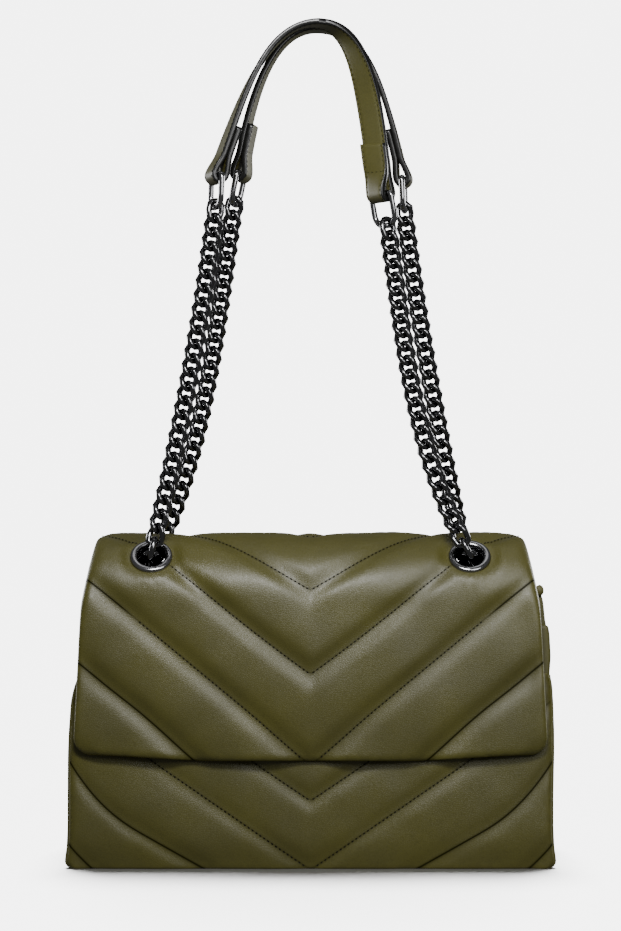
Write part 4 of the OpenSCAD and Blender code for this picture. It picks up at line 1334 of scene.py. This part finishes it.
def grain_group():
    """Fine leather grain: small rounded cells between hairline creases, with soft unevenness."""
    tree, given, result = new_group("Leather grain", {"Cells": 900.0, "Patches": 22.0}, ("Height", "Tone"))
    place = given["Vector"]
    wobble = tree_node(tree, "ShaderNodeTexNoise", Vector=place, Scale=260.0, Detail=2.0).outputs["Color"]
    bent = tree_node(tree, "ShaderNodeVectorMath", {"operation": "MULTIPLY_ADD"}, i0=wobble,
                     i1=(0.0012, 0.0012, 0.0012), i2=place).outputs[0]
    cells = tree_node(tree, "ShaderNodeTexVoronoi", {"feature": "DISTANCE_TO_EDGE"}, Vector=bent,
                      Scale=given["Cells"]).outputs["Distance"]
    raised = tree_node(tree, "ShaderNodeMapRange", {"interpolation_type": "SMOOTHSTEP"}, Value=cells,
                       From_Min=0.0, From_Max=0.22).outputs[0]
    height = tree_node(tree, "ShaderNodeMath", {"operation": "MULTIPLY_ADD"}, i0=noise(tree, place, 420.0, 3.0, 0.6),
                       i1=0.8, i2=raised).outputs[0]
    tree.links.new(height, result["Height"])
    tree.links.new(noise(tree, place, given["Patches"], 5.0, 0.55), result["Tone"])


def weave_group():
    """Plain weave of two sets of threads."""
    tree, given, result = new_group("Fine weave", {"Threads": 1100.0}, ("Height", "Tone"))
    waves = [tree_node(tree, "ShaderNodeTexWave", {"bands_direction": axis, "wave_profile": "SIN"},
                       Vector=given["Vector"], Scale=given["Threads"], Distortion=0.4,
                       Detail_Scale=2.0).outputs["Fac"] for axis in ("X", "Z")]
    height = tree_node(tree, "ShaderNodeMath", {"operation": "MULTIPLY"}, i0=waves[0], i1=waves[1]).outputs[0]
    tree.links.new(height, result["Height"])
    tree.links.new(noise(tree, given["Vector"], 60.0, 4.0), result["Tone"])


def wear_group():
    """Broken-up wear from a mask of edges or raised parts."""
    tree, given, result = new_group("Handled wear", {"Mask": 0.0, "Amount": 0.5}, ("Wear",))
    patches = noise(tree, given["Vector"], 160.0, 6.0, 0.65)
    broken = tree_node(tree, "ShaderNodeMapRange", {"interpolation_type": "SMOOTHSTEP"}, Value=patches,
                       From_Min=0.35, From_Max=0.65).outputs[0]
    worn = tree_node(tree, "ShaderNodeMath", {"operation": "MULTIPLY"}, i0=broken, i1=given["Mask"]).outputs[0]
    scaled = tree_node(tree, "ShaderNodeMath", {"operation": "MULTIPLY", "use_clamp": True}, i0=worn,
                       i1=given["Amount"]).outputs[0]
    tree.links.new(scaled, result["Wear"])


def haze_group():
    """Fine polishing marks and haze on metal."""
    tree, given, result = new_group("Polished haze", {}, ("Haze", "Height"))
    tree.links.new(noise(tree, given["Vector"], 240.0, 5.0, 0.6), result["Haze"])
    tree.links.new(noise(tree, given["Vector"], 1800.0, 2.0), result["Height"])


def new_material(name, **constants):
    """A material with its shader's fixed values."""
    material = bpy.data.materials.new(name)
    material.use_nodes = True
    tree = material.node_tree
    shader = next(n for n in tree.nodes if n.type == "BSDF_PRINCIPLED")
    for key, value in constants.items():
        shader.inputs[key.replace("_", " ")].default_value = value
    place = tree.nodes.new("ShaderNodeTexCoord").outputs["Object"]
    return tree, shader, place


def group(tree, name, **inputs):
    """A shared effect in a material."""
    return tree_node(tree, "ShaderNodeGroup", {"node_tree": bpy.data.node_groups[name]}, **inputs).outputs


def mixed(tree, share, a, b):
    """Two colours mixed."""
    a, b = (value if isinstance(value, bpy.types.NodeSocket) else (*value, 1) for value in (a, b))
    return tree_node(tree, "ShaderNodeMix", {"data_type": "RGBA"}, i0=share, i6=a, i7=b).outputs[2]


def ranged(tree, value, low, high, to_low, to_high):
    """A value brought from one range to another."""
    return tree_node(tree, "ShaderNodeMapRange", Value=value, From_Min=low, From_Max=high, To_Min=to_low,
                     To_Max=to_high).outputs[0]


def shade(colour, factor):
    """A colour made lighter or darker."""
    return tuple(min(1.0, c * factor) for c in colour)


def join_up(tree, shader, base, tone, rough, height, strength, depth):
    """Gives a shader its colour, a roughness between two values that follows a tone, and a bump."""
    bump = tree_node(tree, "ShaderNodeBump", Strength=strength, Distance=depth, Height=height)
    tree.links.new(base, shader.inputs["Base Color"])
    tree.links.new(ranged(tree, tone, 0.3, 0.7, *rough), shader.inputs["Roughness"])
    tree.links.new(bump.outputs[0], shader.inputs["Normal"])


def leather(name, colour, cells, roughness, grain_depth, quilted):
    """Soft dyed hide with grain and uneven tone, with painted shade in its creases and in the grain's hollows, and
    lighter turned edges that are partly wear and partly a painted highlight.
    """
    tree, shader, place = new_material(name, Coat_Weight=0.04, Coat_Roughness=0.25, Specular_IOR_Level=0.44)
    grain = group(tree, "Leather grain", Vector=place, Cells=cells)
    tone = ranged(tree, grain["Tone"], 0.3, 0.7, 0.0, 1.0)
    base = mixed(tree, tone, shade(colour, 0.84), shade(colour, 1.14))
    # Painted shade: the grain's hollows are darkened
    base = mixed(tree, ranged(tree, grain["Height"], 0.2, 1.2, 0.35, 0.0), base, shade(colour, 0.4))
    rim = tree_node(tree, "ShaderNodeAttribute", {"attribute_name": "rim"}).outputs["Fac"]
    # Lighter broken patches along turned edges: wear, and partly a painted highlight
    wear = group(tree, "Handled wear", Vector=place, Mask=rim, Amount=0.45)["Wear"]
    base = mixed(tree, wear, base, shade(colour, 1.7))
    # Painted highlight: a continuous lighter line along each turned edge
    base = mixed(tree, ranged(tree, rim, 0.62, 0.95, 0.0, 0.7), base, shade(colour, 2.0))
    if quilted:
        # Painted shade: the creases are darkened, the folded ones almost to black, and lose their shine
        crease = tree_node(tree, "ShaderNodeAttribute", {"attribute_name": "crease"}).outputs["Fac"]
        base = mixed(tree, ranged(tree, crease, 0.1, 0.6, 0.0, 0.6), base, shade(colour, 0.3))
        base = mixed(tree, ranged(tree, crease, 0.6, 0.8, 0.0, 0.95), base, shade(colour, 0.08))
        tree.links.new(ranged(tree, crease, 0.3, 0.8, 0.44, 0.03), shader.inputs["Specular IOR Level"])
        tree.links.new(ranged(tree, crease, 0.3, 0.8, 0.04, 0.0), shader.inputs["Coat Weight"])
    join_up(tree, shader, base, grain["Tone"], (roughness + 0.05, roughness - 0.05), grain["Height"], 0.32,
            grain_depth)


def make_finishes():
    """All materials of the bag."""
    own = looks()
    for make in (grain_group, weave_group, wear_group, haze_group):
        make()
    leather("olive_quilted_leather", own.leather_colour, 1000.0, 0.40, 0.00012, True)
    leather("olive_plain_leather", own.leather_colour, 1000.0, 0.46, 0.00012, False)
    leather("olive_strap_leather", own.leather_colour, 1300.0, 0.50, 0.00010, False)

    tree, shader, place = new_material("painted_edge", Coat_Weight=0.05, Coat_Roughness=0.12, Specular_IOR_Level=0.3)
    haze = group(tree, "Polished haze", Vector=place)["Haze"]
    join_up(tree, shader, mixed(tree, haze, (0.003, 0.003, 0.003), (0.008, 0.008, 0.0075)), haze, (0.2, 0.26),
            noise(tree, place, 300.0, 1.0), 0.2, 0.0002)

    tree, shader, place = new_material("binding_leather", Specular_IOR_Level=0.4)
    grain = group(tree, "Leather grain", Vector=place, Cells=1500.0)
    base = mixed(tree, grain["Tone"], shade(own.leather_colour, 0.85), shade(own.leather_colour, 1.15))
    join_up(tree, shader, base, grain["Tone"], (0.45, 0.55), grain["Height"], 0.4, 0.0001)

    tree, shader, place = new_material("black_lining_cloth", Sheen_Weight=0.15, Sheen_Roughness=0.4,
                                       Specular_IOR_Level=0.3)
    weave = group(tree, "Fine weave", Vector=place)
    base = mixed(tree, weave["Tone"], shade(own.lining_colour, 0.7), shade(own.lining_colour, 1.4))
    # Painted shade: darker between the weave's threads
    base = mixed(tree, ranged(tree, weave["Height"], 0.0, 1.0, 0.5, 0.0), base, shade(own.lining_colour, 0.4))
    join_up(tree, shader, base, weave["Tone"], (0.62, 0.74), weave["Height"], 0.5, 0.00015)

    for name, bright, rough in (("gunmetal_plate", 2.4, (0.13, 0.21)), ("gunmetal_chain", 1.2, (0.12, 0.20))):
        tree, shader, place = new_material(name, Metallic=1.0)
        haze = group(tree, "Polished haze", Vector=place)
        base = mixed(tree, haze["Haze"], shade(own.metal_colour, 0.8 * bright), shade(own.metal_colour, 1.2 * bright))
        join_up(tree, shader, base, haze["Haze"], rough, haze["Height"], 0.06, 0.00005)

    for name, specular, scale, detail, dark, light, rough, strength in (
            ("dark_thread", 0.12, 2600.0, 1.0, (0.003, 0.003, 0.001), (0.010, 0.009, 0.003), (0.6, 0.8), 0.4),
            ("stiffening_board", 0.3, 700.0, 5.0, (0.22, 0.2, 0.17), (0.34, 0.32, 0.28), (0.75, 0.9), 0.3)):
        tree, shader, place = new_material(name, Specular_IOR_Level=specular)
        fibre = noise(tree, place, scale, detail)
        join_up(tree, shader, mixed(tree, fibre, dark, light), fibre, rough, fibre, strength, 0.0001)
    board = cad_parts["base_board"]
    board.data.materials.clear()
    board.data.materials.append(bpy.data.materials["stiffening_board"])


# The studio


def aim(light, place, target):
    """Puts a light or camera at a place, pointing at a target."""
    light.location = place
    light.rotation_euler = (Vector(target) - Vector(place)).to_track_quat("-Z", "Y").to_euler()


def make_stage():
    """Pale floor under a pale backdrop, soft lights and the camera."""
    own = looks()
    rows = np.linspace(-FLOOR_HALF, FLOOR_HALF, 21)
    verts = [(side * FLOOR_HALF, y, 0) for y in rows for side in (-1, 1)]
    faces = [(2 * i, 2 * i + 1, 2 * i + 3, 2 * i + 2) for i in range(len(rows) - 1)]
    tree, shader, place = new_material("pale_floor", Roughness=0.7, Specular_IOR_Level=0.2)
    mottled = mixed(tree, noise(tree, place, 6.0, 3.0), (0.83, 0.83, 0.83), (0.85, 0.85, 0.85))
    tree.links.new(mottled, shader.inputs["Base Color"])
    floor = put("floor", verts, faces, ["pale_floor"])
    floor.visible_diffuse = floor.visible_glossy = False
    lit_floor, not_floor = bpy.data.collections.new("lit_floor"), bpy.data.collections.new("not_the_floor")
    lit_floor.objects.link(floor)
    not_floor.objects.link(floor)
    not_floor.collection_objects[0].light_linking.link_state = "EXCLUDE"
    world = bpy.data.worlds.new("soft_room")
    bpy.context.scene.world = world
    world.use_nodes = True
    tree = world.node_tree
    sky = tree.nodes["Background"]
    sky.inputs["Color"].default_value = (1, 1, 1, 1)
    seen = tree_node(tree, "ShaderNodeLightPath").outputs["Is Camera Ray"]
    tree.links.new(ranged(tree, seen, 0.0, 1.0, own.room_light, own.backdrop_light), sky.inputs["Strength"])
    for name, place, target, size, power in (
            ("key", (-0.02, -0.58, 0.68), (0, 0, 0.12), (0.24, 0.16), own.key_light),
            ("fill", (0.32, -0.64, 0.46), (0, 0, 0.12), (0.34, 0.3), own.fill_light),
            ("top", (0.0, 0.1, 1.7), (0, 0, 0.2), (1.0, 0.5), own.top_light),
            ("rear_left", (-1.35, 0.95, 0.5), (0, 0, 0.12), (0.5, 0.5), own.rear_light),
            ("rear_right", (1.35, 0.95, 0.5), (0, 0, 0.12), (0.5, 0.5), own.rear_light)):
        data = bpy.data.lights.new(name, "AREA")
        data.shape, data.size, data.size_y, data.energy = "RECTANGLE", size[0], size[1], power
        light = linked(name, data)
        light.light_linking.receiver_collection = not_floor
        aim(light, place, target)
    data = bpy.data.lights.new("floor_light", "SUN")
    data.angle, data.energy = math.radians(24), own.floor_light
    light = linked("floor_light", data)
    light.rotation_euler = (math.radians(-16.5), 0, 0)
    light.light_linking.receiver_collection = lit_floor
    data = bpy.data.cameras.new("photo_view")
    data.sensor_width, data.lens, data.shift_y = 36, 97.5, 0.0014
    camera = linked("photo_view", data)
    aim(camera, (0, VIEW_Y, VIEW_Z), (0, 0, VIEW_Z))
    bpy.context.scene.camera = camera


# The add-on


class ShoulderBagLooks(bpy.types.PropertyGroup):
    """Sizes and colours of the bag's finish."""

    puff_height: bpy.props.FloatProperty(
        name="Puff height", description="How far the quilted puffs stand over the panel", default=0.0012, min=0,
        unit="LENGTH")
    crease_depth: bpy.props.FloatProperty(
        name="Crease depth", description="Depth of the creases under the quilting stitches", default=0.0014, min=0,
        unit="LENGTH")
    stitch_length: bpy.props.FloatProperty(
        name="Stitch length", description="Length of one visible stitch", default=0.0016, min=0, unit="LENGTH")
    thread_width: bpy.props.FloatProperty(
        name="Thread width", description="Thickness of the thread", default=0.0007, min=0, unit="LENGTH")
    strap_stitch_pitch: bpy.props.FloatProperty(
        name="Strap stitch pitch", description="Distance between stitches on the handles", default=0.003, min=0.001,
        unit="LENGTH")
    leather_colour: bpy.props.FloatVectorProperty(
        name="Leather colour", description="Colour of the olive leather", default=(0.066, 0.0612, 0.0118), min=0, max=1,
        subtype="COLOR")
    lining_colour: bpy.props.FloatVectorProperty(
        name="Lining colour", description="Colour of the lining", default=(0.020, 0.020, 0.021), min=0, max=1,
        subtype="COLOR")
    metal_colour: bpy.props.FloatVectorProperty(
        name="Metal colour", description="Colour of the plated metal", default=(0.105, 0.105, 0.108), min=0, max=1,
        subtype="COLOR")
    room_light: bpy.props.FloatProperty(
        name="Room light", description="Strength of the light from all round", default=0.14, min=0)
    backdrop_light: bpy.props.FloatProperty(
        name="Backdrop light", description="Brightness of the backdrop", default=5.6, min=0)
    floor_light: bpy.props.FloatProperty(
        name="Floor light", description="Strength of the light on the floor", default=22.6, min=0)
    key_light: bpy.props.FloatProperty(
        name="Key light", description="Power of the light above the camera", default=5.8, min=0, unit="POWER")
    fill_light: bpy.props.FloatProperty(
        name="Fill light", description="Power of the light from the right", default=2.6, min=0, unit="POWER")
    top_light: bpy.props.FloatProperty(
        name="Top light", description="Power of the light over the crown", default=2, min=0, unit="POWER")
    rear_light: bpy.props.FloatProperty(
        name="Rear light", description="Power of each light beside and behind the bag", default=14, min=0, unit="POWER")


class ShoulderBagOperator(bpy.types.Operator):
    """Common part of the bag's operators."""

    bl_idname = "shoulder_bag.base"
    bl_label = "Shoulder bag"
    bl_options = {"UNDO"}

    def make(self):
        """Makes the operator's pieces."""

    def execute(self, context):
        self.make()
        return {"FINISHED"}


class MakeFinishes(ShoulderBagOperator):
    """Makes the materials"""

    bl_idname = "shoulder_bag.finishes"
    bl_label = "Finishes"

    def make(self):
        make_finishes()


class MakeCover(ShoulderBagOperator):
    """Makes the quilted crown and flap"""

    bl_idname = "shoulder_bag.cover"
    bl_label = "Crown and flap"

    def make(self):
        make_cover()


class MakePanels(ShoulderBagOperator):
    """Makes the quilted front and back panels"""

    bl_idname = "shoulder_bag.panels"
    bl_label = "Front and back panels"

    def make(self):
        for panel in PANELS:
            make_panel(*panel)


class MakeSides(ShoulderBagOperator):
    """Makes the gussets, their bound seams and the base"""

    bl_idname = "shoulder_bag.sides"
    bl_label = "Sides and base"

    def make(self):
        for side in (-1, 1):
            make_gusset(side)
            make_binding(side)
        make_base()


class MakeLinings(ShoulderBagOperator):
    """Makes the linings and the slip pocket"""

    bl_idname = "shoulder_bag.linings"
    bl_label = "Linings"

    def make(self):
        make_body_lining()
        make_crown_lining()
        make_flap_lining()
        make_pocket()


class MakeMetal(ShoulderBagOperator):
    """Makes the eyelets, washers, snaps and rings"""

    bl_idname = "shoulder_bag.metal"
    bl_label = "Eyelets, snaps and rings"

    def make(self):
        make_eyelets()
        make_snaps()
        make_rings()


class MakeChains(ShoulderBagOperator):
    """Makes the curb chains"""

    bl_idname = "shoulder_bag.chains"
    bl_label = "Chains"

    def make(self):
        chain_tree()
        for side in (-1, 1):
            make_bridge_chain(side)
            for face in (-1, 1):
                make_strap_chain(side, face)


class MakeHandles(ShoulderBagOperator):
    """Makes the leather handles"""

    bl_idname = "shoulder_bag.handles"
    bl_label = "Handles"

    def make(self):
        make_handles()


class MakeStitching(ShoulderBagOperator):
    """Makes the quilting and the handles' stitches"""

    bl_idname = "shoulder_bag.stitching"
    bl_label = "Stitching"

    def make(self):
        stitch_tree()
        make_quilting()
        make_handle_stitching()


class MakeStage(ShoulderBagOperator):
    """Makes the floor, lights and camera"""

    bl_idname = "shoulder_bag.stage"
    bl_label = "Stage"

    def make(self):
        make_stage()


OPERATORS = (MakeFinishes, MakeStage, MakeCover, MakePanels, MakeSides, MakeLinings, MakeMetal, MakeChains,
             MakeHandles, MakeStitching)


class VIEW3D_PT_shoulder_bag(bpy.types.Panel):
    """Lists the bag's operators and settings."""

    bl_label = "Shoulder bag"
    bl_space_type = "VIEW_3D"
    bl_region_type = "UI"
    bl_category = "Shoulder bag"

    def draw(self, context):
        for name in ShoulderBagLooks.__annotations__:
            self.layout.prop(context.scene.shoulder_bag, name)
        for operator in OPERATORS:
            self.layout.operator(operator.bl_idname)


CLASSES = (ShoulderBagLooks, *OPERATORS, VIEW3D_PT_shoulder_bag)


def register():
    """Adds the classes and the scene's settings."""
    for cls in CLASSES:
        bpy.utils.register_class(cls)
    bpy.types.Scene.shoulder_bag = bpy.props.PointerProperty(type=ShoulderBagLooks)


def unregister():
    """Removes them."""
    del bpy.types.Scene.shoulder_bag
    for cls in reversed(CLASSES):
        bpy.utils.unregister_class(cls)


def main():
    """Makes the whole bag and its stage."""
    register()
    for operator in OPERATORS:
        group_name, call = operator.bl_idname.split(".")
        getattr(getattr(bpy.ops, group_name), call)()
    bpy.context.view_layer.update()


if __name__ == "__main__":
    main()
